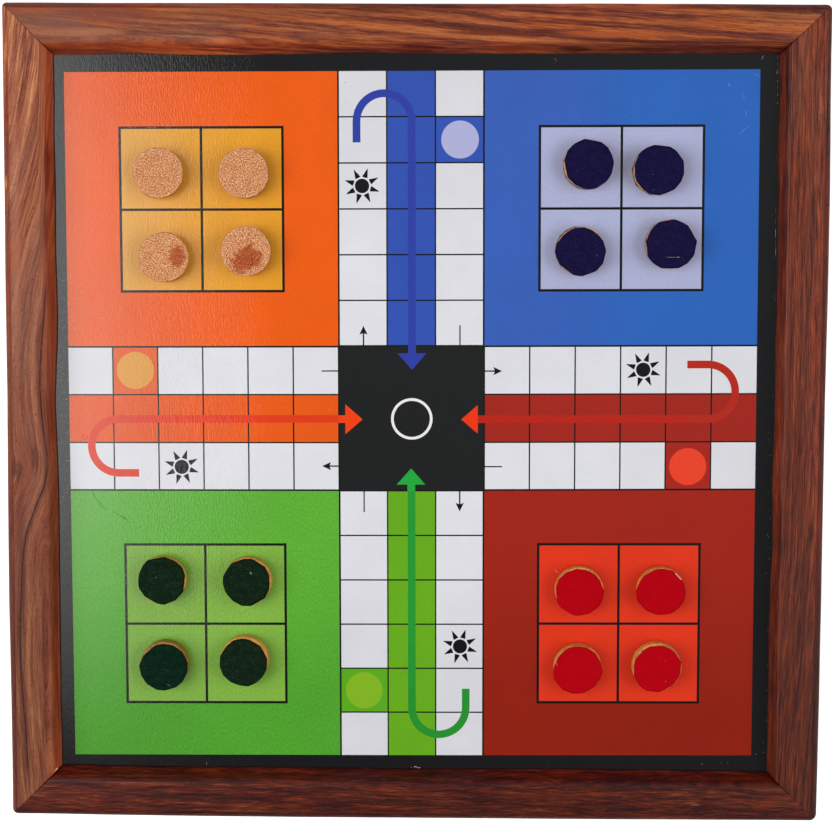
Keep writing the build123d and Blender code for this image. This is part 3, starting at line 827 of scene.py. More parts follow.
# side: board x and y from (along, out)
SIDES = {
    "near": (lambda u, o: (u, -o), "rail_near"),
    "right": (lambda u, o: (o, u), "rail_right"),
    "far": (lambda u, o: (u, o), "rail_far"),
    "left": (lambda u, o: (-o, u), "rail_left"),
}
# plan rounding of the corner at each end of a side: (end at -u, end at +u)
CORNER = {"near": (2.2, 2.7), "right": (2.7, 2.2), "far": (1.6, 2.2), "left": (2.2, 1.6)}
# mitre: how far each end stands back at the opening and at the outside, mm
MITRE = {"near": ((0.40, 0.05), (0.22, 0.04)), "right": ((0.14, 0.04), (0.16, 0.04)),
         "far": ((0.04, 0.04), (0.10, 0.04)), "left": ((0.12, 0.05), (0.04, 0.04))}


# how wide the sloped side of each rail is in plan, and how round the turn to the flat
SLOPE = {"near": (3.5, 2.8), "right": (2.0, 1.2), "far": (3.3, 2.2), "left": (2.5, 2.8)}
# which rail, and which end of it, each end (-u, +u) meets
MEETS = {"near": (("left", -1), ("right", -1)), "right": (("near", 1), ("far", 1)),
         "far": (("left", 1), ("right", 1)), "left": (("near", -1), ("far", -1))}


def rail_profile(side):
    """The section as (out, z), open end to open end round the outside."""
    run, r = SLOPE[side]
    p = [(0.12, PLAY_Z + 0.04), (0.0, PLAY_Z + 0.14)]
    foot, top = (0.0, PLAY_Z + 0.14), (run, RAIL_H)
    ang = math.atan2(top[1] - foot[1], top[0] - foot[0])
    back = r * math.tan(ang / 2)
    s0 = (top[0] - math.cos(ang) * back, top[1] - math.sin(ang) * back)
    for k in range(1, 8):
        p.append((foot[0] + (s0[0] - foot[0]) * k / 8, foot[1] + (s0[1] - foot[1]) * k / 8))
    cx = top[0] + back
    for k in range(0, 10):
        a = ang + math.pi / 2 - ang * k / 9
        p.append((cx + r * math.cos(a), RAIL_H - r + r * math.sin(a)))
    x1 = RAIL_W - 3.0
    for k in range(1, 12):
        p.append((cx + (x1 - cx) * k / 12, RAIL_H))
    p.append((x1 + 0.02, RAIL_H))
    for k in range(0, 11):
        a = math.radians(66 * (1 - k / 10))
        r = 3.28
        p.append((RAIL_W - r + r * math.cos(a), RAIL_H - 3.0 + r * math.sin(a) * 0.985))
    for k in range(1, 7):
        p.append((RAIL_W, 17.0 - (17.0 - 0.8) * k / 6))
    p += [(RAIL_W - 0.35, 0.28), (RAIL_W - 0.8, 0.0), (14.0, 0.0), (9.0, 0.0), (4.9, 0.0), (4.5, 0.25), (4.5, 6.0),
          (4.5, PLAY_Z + 0.03), (2.2, PLAY_Z + 0.03), (0.5, PLAY_Z + 0.03)]
    return p


def table(pairs, base):
    pairs = sorted(pairs)
    xs, ys = [a for a, _ in pairs], [b - base for _, b in pairs]
    return lambda u: float(np.interp(min(134.0, max(-134.0, u)), xs, ys))


WANDER = {side: (table(INNER_EDGE[side], OPEN), table(OUTER_EDGE[side], HALF)) for side in SIDES}


def stray(side, u, v, z):
    """How far out this side stands from straight at u along it and v across it."""
    k = v / RAIL_W
    wi, wo = WANDER[side][0](u), WANDER[side][1](u)
    if z > 12.9:
        return wi * (1 - k) + wo * k
    return wo * smooth(9.0, 17.0, v)


def build_rail(side, mat):
    place, node = SIDES[side]
    prof = rail_profile(side)
    ends = [0.0, 0.0011, 0.0024, 0.0045, 0.0075, 0.0105, 0.0145]
    ts = [-1 + e for e in ends] + list(np.linspace(-0.980, 0.980, 171)) + [1 - e for e in reversed(ends)]
    seed = {"near": 3.1, "right": 11.7, "far": 23.3, "left": 37.9}[side]
    pts, seam, n = [], [], len(prof)
    for t in ts:
        for j, (v, z) in enumerate(prof):
            h = OPEN + v
            end = 1 if t > 0 else 0
            sgn = 1 if t > 0 else -1
            rc = max(0.0, CORNER[side][end] - (RAIL_W - v))
            u, out = t * h, h
            past = abs(u) - (h - rc)
            if rc > 1e-6 and past > 0:
                a = past / rc * math.pi / 4
                u, out = sgn * (h - rc + rc * math.sin(a)), h - rc + rc * math.cos(a)
            to_end = h - abs(t) * h
            k = v / RAIL_W
            out += stray(side, u, v, z)
            other, which = MEETS[side][end]
            u += sgn * stray(other, which * 134.0, v, z) * smooth(104.0, 134.0, abs(u))
            up = 0.0
            if z > 14.0:
                # planed and sanded by hand: long shallow hollows, flats that fall off to the outside
                q = noise.noise(Vector((u / 34 + seed, v / 9, seed)))
                up = -0.05 + 0.05 * q - (0.16 * ((v - 6.5) / 8.5) ** 2 if 4.0 < v < 15.6 else 0.0)
                if v >= 15.0:
                    up = -0.05 + 0.05 * q - 0.16
                out += 0.05 * noise.noise(Vector((u / 21 + seed, 4.0, z / 6)))
                if z > 19.0:
                    up -= 0.03 * (1 - min(1.0, to_end / 0.5))
            inner, outer = MITRE[side][end]
            gap = inner + (outer - inner) * smooth(0.0, 0.7, k)
            u -= sgn * gap * smooth(22.0, 0.0, to_end)
            x, y = place(u, out)
            pts.append((x, y, z + up))
            seam.append(to_end)
    faces = []
    m = len(ts)
    for i in range(m - 1):
        for j in range(n):
            a, b = i * n + j, i * n + (j + 1) % n
            faces.append((a, b, b + n, a + n))
    faces.append(tuple(range(n)))
    faces.append(tuple(reversed(range((m - 1) * n, m * n))))
    ob = mesh_object("rail_" + side + "_wood", pts, faces, [mat])
    at = ob.data.attributes.new("seam", "FLOAT", "POINT")
    at.data.foreach_set("value", np.asarray(seam, np.float32))
    tidy(ob)
    ob.data.set_sharp_from_angle(angle=math.radians(32))
    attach(ob, "board")
    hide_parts(node)
    return ob


def timber(r, g, b, veil=0.012, gain=1.12):
    return tuple(max(0.0015, (linear(c) - veil) * gain) for c in (r, g, b)) + (1.0,)


def rosewood(name, side, seed, drift, warp, weave, tones, greyer, shade, slope, foot, vein=None, streaks=(), cross=0.0,
             pores=0.5, gloss=0.48, edge=(0.72, 0.60, 0.55, 1.0), tint=(1.0, 0.60, 0.60, 1.0), vivid=((-152, 1.0), (152, 1.0)),
             ruled=0.5, blots=(), outer=((-152, 1.0), (152, 1.0)), warm=((-152, 0.0), (152, 0.0)), calm=0.0, turn=(1.4, 4.6),
             dusk=0.4):
    """Oiled rosewood with its growth lines running along the rail.
    drift: (place along in mm, mm) that the lines stray outwards; warp: size of the slow and the quick waver;
    weave: (weight, along, across) of the broad, band, fibre and hair patterns; tones: dark to light;
    greyer: (place, share) of the paler, purplish wood; shade: (place, brightness) of the flat;
    slope: (place, brightness) of the sloped side, partly the wood's own tone and partly painted light and shade;
    vivid: (place, contrast of the weave); ruled: depth of the dark growth lines;
    blots: (along, out, half length, half width, tone, depth) of single marks; outer: (place, brightness) of the
    flat's outer third, partly painted sheen; warm: (place, share) of the flat that is redder; calm: how much weaker the
    weave is on the sloped side; turn: where the sloped side's tone ends; dusk: depth of its dark patches."""
    s = Shader(name)
    x, y, z, p = s.place_mm()
    along, out = {
        "left": (y, s.madd(x, -1.0, -OPEN)), "right": (y, s.add(x, -OPEN)),
        "far": (x, s.add(y, -OPEN)), "near": (x, s.madd(y, -1.0, -OPEN))}[side]
    t = s.span(along, -HALF, HALF)

    def at(u):
        return (u + HALF) / (2 * HALF)

    carried = s.madd(s.curve(t, [(at(u), 0.5 + w / 120) for u, w in sorted(drift)]), 120.0, -60.0)
    n1 = s.sub(s.noise(s.xyz(s.mul(along, 0.018), s.mul(out, 0.05), s.madd(z, 0.05, seed)), 1.0, 2.0, 0.5), 0.5)
    n2 = s.sub(s.noise(s.xyz(s.mul(along, 0.085), s.mul(out, 0.30), s.madd(z, 0.30, seed + 5)), 1.0, 3.0, 0.55), 0.5)
    inside = s.span(out, turn[0], turn[1], 1.0, 0.0, True)
    outside = s.span(out, 15.05, 15.5, 0.0, 1.0, True)
    tame = s.sub(1.0, s.madd(inside, 0.45, s.mul(outside, 0.72)))
    d0 = s.sub(s.madd(z, 0.30, s.madd(outside, 5.0, out)), s.mul(carried, tame))
    d = s.madd(n2, warp[1] * 2, s.madd(n1, warp[0] * 2, d0))
    parts = []
    for k, (weight, fa, fd) in enumerate(weave):
        v = s.noise(s.xyz(s.mul(along, fa), s.mul(d, fd), seed + 1.3 + 3.7 * k), 1.0, 2.0, 0.55)
        if cross and k >= 2:
            lean = s.madd(along, cross, d)
            w = s.noise(s.xyz(s.mul(along, fa), s.mul(lean, fd), seed + 2.1 + 3.7 * k), 1.0, 2.0, 0.55)
            v = s.madd(v, 0.5, s.mul(w, 0.5))
            weight *= 1.3
        parts.append((weight, v))
    total = sum(w for w, _ in parts)
    mixed = None
    for w, v in parts:
        mixed = s.madd(v, w / total, mixed) if mixed is not None else s.mul(v, w / total)
    f = s.span(mixed, 0.395, 0.605)
    force = s.mul(s.madd(inside, -calm, 1.0), s.madd(s.curve(t, [(at(u), w / 2) for u, w in sorted(vivid)]), 2.0, 0.0))
    f = s.madd(s.sub(f, 0.5), force, 0.5)
    col = s.ramp(f, [(k / (len(tones) - 1), timber(*c)) for k, c in enumerate(tones)])
    # paler, purplish wood in clouds
    patch = s.span(s.noise(s.xyz(s.mul(along, 0.022), s.mul(d, 0.13), seed + 44.0), 1.0, 2.0), 0.36, 0.62)
    lum = s.node("RGBToBW")
    s.put(lum.inputs[0], col)
    pale = s.mix(1.0, s.grey(lum.outputs[0]), (1.72, 0.88, 0.60, 1.0), "MULTIPLY")
    pull = s.curve(t, [(at(u), w) for u, w in sorted(greyer)])
    col = s.mix(s.mul(s.mul(patch, pull), s.sub(1.0, inside)), col, pale)
    # dark growth lines
    lines = s.noise(s.xyz(s.mul(along, 0.010), s.mul(d, 0.62), seed + 12.0), 1.0, 2.0, 0.5)
    line = s.span(s.math("ABSOLUTE", s.sub(lines, 0.5)), 0.003, 0.016, 1.0, 0.0)
    some = s.span(s.noise(s.xyz(s.mul(along, 0.03), s.mul(d, 0.25), seed + 15.0), 1.0, 1.0), 0.44, 0.58)
    col = s.mix(s.mul(s.mul(line, some), ruled), col, timber(*tones[0]))
    if vein:
        where, width, u0, u1, gap0, gap1 = vein
        off = s.math("ABSOLUTE", s.sub(s.madd(n2, 0.5, d0), where))
        run = s.mul(s.span(along, u0, u0 + 12, 0.0, 1.0, True), s.span(along, u1 - 8, u1, 1.0, 0.0, True))
        hold = s.math("MAXIMUM", s.span(along, gap0 - 2.0, gap0, 1.0, 0.0, True), s.span(along, gap1, gap1 + 2.0, 0.0, 1.0, True))
        on = s.mul(s.mul(s.span(off, width * 0.3, width, 1.0, 0.0, True), run), hold)
        soft = s.mul(s.span(off, width, width * 5, 1.0, 0.0, True), run)
        col = s.mix(s.mul(soft, 0.38), col, timber(98, 46, 34))
        col = s.mix(s.mul(on, 0.96), col, timber(32, 17, 19))
    for where, width, u0, u1, tone, much in streaks:
        off = s.math("ABSOLUTE", s.sub(s.madd(n2, 0.7, d0), where))
        on = s.mul(s.span(off, width * 0.4, width, 1.0, 0.0, True),
                   s.mul(s.span(along, u0, u0 + 8, 0.0, 1.0, True), s.span(along, u1 - 6, u1, 1.0, 0.0, True)))
        ragged = s.span(parts[2][1], 0.36, 0.50)
        col = s.mix(s.mul(s.mul(on, ragged), much), col, timber(*tone))
    for u0, v0, ru, rv, tone, much in blots:
        e1, e2 = s.madd(along, 1 / ru, -u0 / ru), s.madd(out, 1 / rv, -v0 / rv)
        r = s.math("SQRT", s.add(s.mul(e1, e1), s.mul(e2, e2)))
        r = s.madd(s.sub(parts[2][1], 0.5), 1.2, s.madd(s.sub(parts[1][1], 0.5), 0.8, r))
        col = s.mix(s.mul(s.span(r, 0.45, 1.1, 1.0, 0.0, True), much), col, timber(*tone))
    # open pores: short dark dashes along the grain, and pale flecks between them
    flat = s.sub(1.0, s.mul(inside, 0.6))
    cell = s.noise(s.xyz(s.mul(along, 0.80), s.mul(d, 2.4), s.madd(z, 0.4, seed + 21.0)), 1.0, 1.0, 0.4)
    pore = s.mul(s.span(cell, 0.63, 0.70, 0.0, 1.0), flat)
    col = s.mix(s.mul(pore, pores), col, timber(66, 31, 26))
    fleck = s.noise(s.xyz(s.mul(along, 0.30), s.mul(d, 2.0), s.madd(z, 0.4, seed + 31.0)), 1.0, 1.0, 0.4)
    col = s.mix(s.mul(s.mul(s.span(fleck, 0.66, 0.72, 0.0, 1.0), flat), 0.25), col, timber(*tones[-1]))
    # brightness along each rail of the flat and of the sloped side: partly the wood's own tone and partly painted light
    # and shade. The sloped side's brightness follows how the light falls on each rail, and it is redder; the flat's
    # outer third gets a painted sheen
    lit = s.madd(s.curve(t, [(at(u), b / 2) for u, b in sorted(shade)]), 2.0, 0.0)
    slope_tone_and_shade = s.madd(s.curve(t, [(at(u), b / 2) for u, b in sorted(slope)]), 2.0, 0.0)
    outer_tone_and_sheen = s.madd(s.curve(t, [(at(u), b / 2) for u, b in sorted(outer)]), 2.0, -1.0)
    lit = s.mul(lit, s.madd(outer_tone_and_sheen, s.span(out, 10.2, 13.0, 0.0, 1.0, True), 1.0))
    both = s.madd(s.sub(slope_tone_and_shade, lit), inside, lit)
    red = s.mul(s.curve(t, [(at(u), w) for u, w in sorted(warm)]), s.sub(1.0, inside))
    col = s.mix(red, col, s.mix(1.0, col, (1.0, 0.81, 0.73, 1.0), "MULTIPLY"))
    col = s.mix(1.0, col, s.grey(both), "MULTIPLY")
    col = s.mix(s.mul(inside, 0.85), col, s.mix(1.0, col, tint, "MULTIPLY"))
    # painted shade: the outer round-over darker and redder, where it turns away from the light
    col = s.mix(outside, col, s.mix(1.0, col, edge, "MULTIPLY"))
    murky = s.span(s.noise(s.xyz(s.mul(along, 0.032), s.mul(out, 0.75), seed + 61.0), 1.0, 3.0, 0.6), 0.48, 0.62, 0.0, dusk)
    col = s.mix(s.mul(inside, murky), col, s.mix(1.0, col, (0.46, 0.42, 0.66, 1.0), "MULTIPLY"))
    # shadowed foot against the sheet, and the open joint at the mitres
    low = s.mul(s.span(z, PLAY_Z + 0.95, PLAY_Z + 0.55, 0.0, 1.0, True), s.span(out, 1.5, 0.8, 0.0, 1.0, True))
    col = s.mix(s.mul(low, foot), col, timber(26, 18, 17))
    joint = s.node("Attribute", attribute_name="seam")
    broken = s.span(s.noise(p, 0.55, 2.0, 0.6), 0.38, 0.58, 0.35, 1.0)
    broken = s.math("MAXIMUM", broken, s.span(out, 7.0, 3.0, 0.0, 1.0, True))
    col = s.mix(s.mul(s.span(joint.outputs["Fac"], 0.05, 0.26, 0.72, 0.0, True), broken), col, timber(40, 20, 17))
    rough = s.madd(pore, 0.2, s.span(parts[1][1], 0.35, 0.65, gloss + 0.03, gloss - 0.03))
    rough = s.madd(outside, 0.15, rough)
    relief = s.sub(s.mul(parts[2][1], 0.5), pore)
    return s.finish(Base_Color=col, Roughness=rough, Normal=s.bump(relief, 0.035), Specular_IOR_Level=0.26)


WOODS = {
    "left": rosewood(
        "rosewood_left", "left", 3.0,
        [(152, -27.8), (134, -25.3), (114, -21.9), (91, -16.6), (61, -7.4), (42.6, -3.0), (34.4, -1.85), (26.7, -0.8),
         (11.8, 0.0), (4.7, -0.3), (-2.8, -1.0), (-10.6, -2.1), (-15, -3.0), (-19, -3.1), (-23.6, -2.05), (-30, 0.4),
         (-35.4, 2.6), (-40.7, 4.55), (-46.2, 6.0), (-54.3, 7.2), (-62.3, 7.8), (-70.6, 8.05), (-85.1, 8.5),
         (-96.2, 8.4), (-106.9, 7.7), (-118, 7.0), (-128.8, 6.4), (-152, 5.0)],
        (0.8, 0.35), [(0.24, 0.006, 0.14), (0.34, 0.014, 0.42), (0.32, 0.055, 1.5), (0.32, 0.15, 2.7)],
        [(104, 52, 40), (130, 70, 48), (148, 88, 62), (166, 108, 74), (192, 136, 92)],
        [(-152, 0.10), (-60, 0.12), (0, 0.45), (60, 0.55), (110, 0.35), (152, 0.10)],
        [(-152, 0.66), (-107, 0.60), (-64, 0.62), (-21, 0.77), (21, 0.85), (60, 0.92), (110, 1.06), (152, 1.16)],
        [(-152, 1.24), (-107, 1.10), (-64, 0.90), (-21, 0.82), (21, 1.04), (64, 1.02), (107, 1.24), (152, 1.40)], 0.9,
        vein=(4.9 + 6.0, 0.38, -142, 52, -18.5, -16.0), pores=0.56, edge=(0.74, 0.50, 0.34, 1.0), tint=(1.0, 0.60, 0.44, 1.0),
        vivid=((-152, 1.05), (-100, 0.9), (-60, 0.8), (-20, 0.65), (40, 0.65), (80, 0.8), (120, 1.0), (152, 1.15)), ruled=0.30, calm=0.12,
        outer=((-152, 0.94), (-50, 0.98), (60, 1.0), (152, 1.10)),
        warm=((-152, 1.0), (70, 1.0), (120, 0.6), (152, 0.1)),
        streaks=((35.4, 0.40, 76, 144, (208, 154, 96), 0.42), (40.1, 0.40, 92, 146, (210, 158, 98), 0.46),
                 (36.6, 0.22, 80, 142, (212, 160, 104), 0.40), (29.6, 0.24, 70, 130, (196, 142, 92), 0.36),
                 (30.6, 0.42, 72, 136, (200, 146, 92), 0.38), (25.5, 0.36, 64, 128, (192, 136, 84), 0.34),
                 (33.2, 0.35, 70, 142, (96, 44, 32), 0.55), (37.8, 0.35, 84, 146, (104, 50, 36), 0.50),
                 (28.3, 0.40, 62, 134, (92, 42, 32), 0.55), (24.3, 0.40, 54, 120, (92, 42, 32), 0.50),
                 (22.7, 0.5, 50, 112, (196, 132, 80), 0.34), (31.9, 0.22, 84, 146, (110, 52, 38), 0.45)),
        blots=((-15.5, 7.0, 6.0, 2.2, (86, 44, 36), 0.55), (-20.0, 14.0, 4.5, 2.4, (78, 40, 34), 0.55),
               (-60, 12.8, 40.0, 2.2, (96, 46, 32), 0.45), (-118, 12.6, 26.0, 1.8, (100, 48, 32), 0.40),
               (86.0, 16.6, 2.6, 0.5, (236, 190, 130), 0.75), (-134.75, 0.95, 0.60, 0.30, (232, 212, 184), 0.95),
               (-135.15, 1.32, 0.45, 0.24, (220, 198, 168), 0.85),
               (92.0, 1.8, 13.0, 0.9, (92, 30, 30), 0.5), (70.0, 2.4, 8.0, 0.7, (74, 30, 28), 0.45),
               # painted sheen: the long pale blot at 64 mm along, on the flat's outer third towards the far end
               (64.0, 13.2, 62.0, 1.8, (176, 122, 98), 0.40), (-96.0, 4.6, 40.0, 1.1, (92, 44, 30), 0.35), (20.0, 4.8, 34.0, 1.2, (96, 46, 36), 0.35))),
    "right": rosewood(
        "rosewood_right", "right", 41.0,
        [(152, 0.5), (100, 0.2), (20, 0.0), (-20, -0.3), (-60, -2.2), (-100, -5.6), (-152, -9.0)],
        (0.7, 0.25), [(0.18, 0.006, 0.16), (0.24, 0.012, 0.55), (0.34, 0.045, 1.4), (0.56, 0.11, 2.7)],
        [(66, 30, 30), (92, 40, 33), (124, 56, 38), (156, 70, 40), (190, 92, 50)],
        [(-152, 0.05), (0, 0.15), (100, 0.30), (152, 0.40)],
        [(-152, 0.44), (-100, 0.49), (-60, 0.55), (60, 0.70), (105, 0.82), (152, 0.95)],
        [(-152, 0.44), (-100, 0.61), (-60, 0.68), (-20, 0.70), (30, 0.66), (60, 0.64), (152, 0.62)], 0.35, cross=0.02,
        edge=(0.52, 0.37, 0.33, 1.0), pores=0.45, tint=(1.0, 0.88, 1.0, 1.0), vivid=((-152, 0.95), (152, 0.95)), ruled=0.35,
        outer=((-152, 0.92), (-70, 0.98), (-20, 1.55), (40, 1.48), (90, 1.30), (152, 1.08)), turn=(1.1, 3.3), dusk=0.5,
        # painted highlight: the thin pale streak along the shoulder
        streaks=((8.2, 0.10, 14, 140, (206, 140, 116), 0.5),), blots=((16.0, 3.1, 66.0, 0.8, (152, 72, 46), 0.5),)),
    "far": rosewood(
        "rosewood_far", "far", 17.0,
        [(-152, 12.5), (-110, 8.6), (-50, 4.0), (0, 0.2), (50, -3.6), (100, -6.6), (152, -9.0)],
        (1.1, 0.35), [(0.28, 0.006, 0.14), (0.50, 0.010, 0.42), (0.26, 0.040, 1.2), (0.30, 0.15, 1.9)],
        [(88, 42, 38), (112, 55, 42), (144, 72, 44), (176, 92, 48), (190, 106, 54)],
        [(-152, 0.70), (-100, 0.60), (-40, 0.25), (60, 0.15), (152, 0.25)],
        [(-152, 0.94), (0, 0.96), (152, 0.96)],
        [(-152, 1.06), (-110, 1.16), (-72, 1.42), (-22, 1.02), (20, 1.22), (60, 0.68), (120, 0.80), (152, 0.88)], 0.30,
        tint=(1.0, 0.90, 1.18, 1.0), edge=(0.74, 0.56, 0.52, 1.0), pores=0.35,
        outer=((-152, 0.96), (-76, 0.92), (-26, 0.76), (26, 1.08), (76, 1.16), (127, 0.78), (152, 0.80)), dusk=0.5,
        vivid=((-152, 0.35), (-115, 0.55), (-80, 0.9), (152, 1.0)), ruled=0.35,
        streaks=((13.4 + 6.0 + 8.4, 0.50, 104, 150, (198, 118, 58), 0.65),),
        blots=((-127, 14.75, 20.0, 0.26, (196, 88, 46), 0.55), (-127, 6.4, 22.0, 1.8, (178, 112, 80), 0.70),
               (26.0, 6.4, 22.0, 1.7, (104, 48, 33), 0.85), (76.0, 6.4, 22.0, 1.6, (174, 88, 46), 0.85),
               (-26.0, 3.9, 24.0, 0.9, (84, 38, 32), 0.50), (92.0, 3.9, 42.0, 0.9, (80, 37, 30), 0.50),
               (-112, 13.0, 26.0, 3.0, (124, 70, 58), 0.60), (-70, 13.2, 26.0, 2.4, (134, 74, 48), 0.50),
               (-132, 8.0, 12.0, 4.0, (140, 88, 72), 0.45), (2.0, 1.8, 9.0, 1.4, (70, 26, 26), 0.6),
               (36.0, 1.6, 8.0, 1.2, (150, 62, 30), 0.5), (58.0, 1.5, 7.0, 1.3, (64, 24, 24), 0.6))),
    "near": rosewood(
        "rosewood_near", "near", 29.0,
        [(-152, -9.0), (-60, -4.0), (40, 2.2), (152, 8.0)],
        (1.6, 0.55), [(0.26, 0.016, 0.17), (0.26, 0.030, 0.50), (0.36, 0.070, 1.4), (0.42, 0.18, 2.5)],
        [(48, 22, 21), (62, 28, 25), (84, 38, 30), (116, 51, 33), (150, 70, 43)],
        [(-152, 0.20), (152, 0.12)],
        [(-152, 1.00), (-40, 0.95), (60, 0.93), (152, 0.94)],
        [(-152, 0.95), (-40, 0.90), (60, 0.90), (152, 0.90)], 0.7, cross=0.11, pores=0.32, tint=(1.06, 0.62, 0.66, 1.0),
        edge=(0.70, 0.56, 0.52, 1.0),
        blots=((105.0, 10.2, 3.0, 0.26, (176, 110, 80), 0.5), (106.5, 11.0, 2.0, 0.22, (186, 120, 90), 0.5),
               (-100.0, 3.9, 44.0, 0.8, (56, 25, 20), 0.35), (-26.0, 6.3, 22.0, 1.4, (62, 28, 23), 0.35),
               (-76.0, 3.8, 28.0, 0.9, (44, 20, 16), 0.40), (-76.0, 6.3, 26.0, 1.4, (54, 25, 20), 0.40),
               # painted highlight: the thin pale blot along the shoulder near the left end
               (-110.0, 4.25, 16.0, 0.12, (150, 92, 70), 0.45)), dusk=0.2),
}
for side in SIDES:
    build_rail(side, WOODS[side])


# ---- counters ---------------------------------------------------------------------
def turned_wood(name, seed, dark=1.0, hue=(1.0, 1.0, 1.0)):
    """Side of a disc cut from a pale board, with the saw's rings round it."""
    s = Shader(name)
    x, y, z, p = s.place_mm()
    c, sn = math.cos(seed * 2.4), math.sin(seed * 2.4)
    u = s.madd(x, c, s.mul(y, sn))
    v = s.madd(x, -sn, s.mul(y, c))
    grain = s.noise(s.xyz(s.mul(u, 0.10), s.mul(v, 1.1), s.madd(z, 1.1, seed)), 1.0, 3.0, 0.6)
    fine = s.noise(s.xyz(s.mul(u, 0.5), s.mul(v, 5.0), s.madd(z, 5.0, seed)), 1.0, 2.0, 0.6)
    saw = s.noise(s.xyz(0.0, 0.0, s.madd(z, 7.0, seed)), 1.0, 2.0, 0.7)
    f = s.span(s.madd(grain, 0.6, s.mul(fine, 0.4)), 0.36, 0.64)

    def tone(r, g, b):
        return tuple(min(0.92, c * h * dark) for c, h in zip(rgb(r, g, b)[:3], hue)) + (1.0,)

    col = s.ramp(f, [(0.0, tone(148, 90, 42)), (0.35, tone(182, 118, 56)), (0.7, tone(206, 142, 74)), (1.0, tone(220, 160, 90))])
    height = s.madd(saw, 0.6, s.mul(fine, 0.5))
    return s.finish(Base_Color=col, Roughness=s.span(fine, 0.3, 0.7, 0.62, 0.50), Normal=s.bump(height, 0.05),
                    Specular_IOR_Level=0.35)


def magnet_rubber():
    s = Shader("magnet_rubber")
    x, y, z, p = s.place_mm()
    cloud = s.noise(p, 0.5, 3.0, 0.6)
    grit = s.noise(p, 6.0, 2.0, 0.6)
    ribs = s.math("SINE", s.mul(s.madd(x, 0.9, s.mul(y, 0.43)), 4.2))
    col = s.mix(s.span(s.madd(cloud, 0.6, s.mul(grit, 0.4)), 0.35, 0.65), rgb(40, 33, 32), rgb(70, 60, 57))
    height = s.madd(grit, 0.5, s.mul(ribs, 0.12))
    return s.finish(Base_Color=col, Roughness=s.span(cloud, 0.3, 0.7, 0.55, 0.68), Normal=s.bump(height, 0.03),
                    Specular_IOR_Level=0.4)


def hairs(s, x, y, p, col, marks):
    """Single fibres and crumbs on a top: (x0, y0, x1, y1, half width, colour, depth), mm."""
    for x0, y0, x1, y1, w, tone, much in marks:
        dx, dy = x1 - x0, y1 - y0
        n2 = dx * dx + dy * dy
        h = s.math("MULTIPLY_ADD", s.sub(x, x0), dx / n2, s.mul(s.sub(y, y0), dy / n2), clamp=True)
        ex = s.sub(s.sub(x, x0), s.mul(h, dx))
        ey = s.sub(s.sub(y, y0), s.mul(h, dy))
        far = s.math("SQRT", s.add(s.mul(ex, ex), s.mul(ey, ey)))
        far = s.madd(s.sub(s.noise(p, 2.2, 2.0), 0.5), 1.4 * w, far)
        col = s.mix(s.mul(s.span(far, w * 0.5, w, 1.0, 0.0), much), col, rgb(*tone))
    return col


def velvet(name, stops, seed, edge=None, sheen=0.1, flat=0.5, marks=()):
    """Cut pile. The mesh carries how far each point stands up (pile) and how near the cut edge it is (rim)."""
    s = Shader(name)
    x, y, z, p = s.place_mm()
    a = s.node("Attribute", attribute_name="pile")
    b = s.node("Attribute", attribute_name="rim")
    nap = s.noise(s.xyz(s.mul(x, 0.35), s.mul(y, 0.42), seed), 1.0, 3.0, 0.6)
    tuft = s.noise(p, 2.4, 2.0, 0.7)
    fine = s.noise(p, 7.0, 1.0, 0.5)
    f = s.madd(a.outputs["Fac"], 0.34, s.madd(nap, 0.34, s.madd(tuft, 0.22, s.mul(fine, 0.10))))
    col = s.ramp(s.span(f, 0.5 - 0.16 / flat, 0.5 + 0.16 / flat), stops)
    if edge:
        col = s.mix(s.mul(b.outputs["Fac"], edge[1]), col, edge[0])
    # a few light hairs caught in the pile
    spot = s.span(s.cells(p, 0.8), 0.03, 0.085, 1.0, 0.0)
    few = s.span(s.noise(s.xyz(s.mul(x, 0.9), s.mul(y, 0.9), seed + 3), 1.0, 1.0), 0.62, 0.65)
    col = s.mix(s.mul(s.mul(spot, few), 0.40), col, rgb(190, 190, 180))
    col = hairs(s, x, y, p, col, marks)
    height = s.madd(tuft, 0.7, s.mul(fine, 0.5))
    return s.finish(Base_Color=col, Roughness=s.span(nap, 0.3, 0.7, 0.95, 0.86), Normal=s.bump(height, 0.16),
                    Specular_IOR_Level=0.06, Sheen_Weight=sheen, Sheen_Roughness=0.45, Sheen_Tint=stops[-1][1])


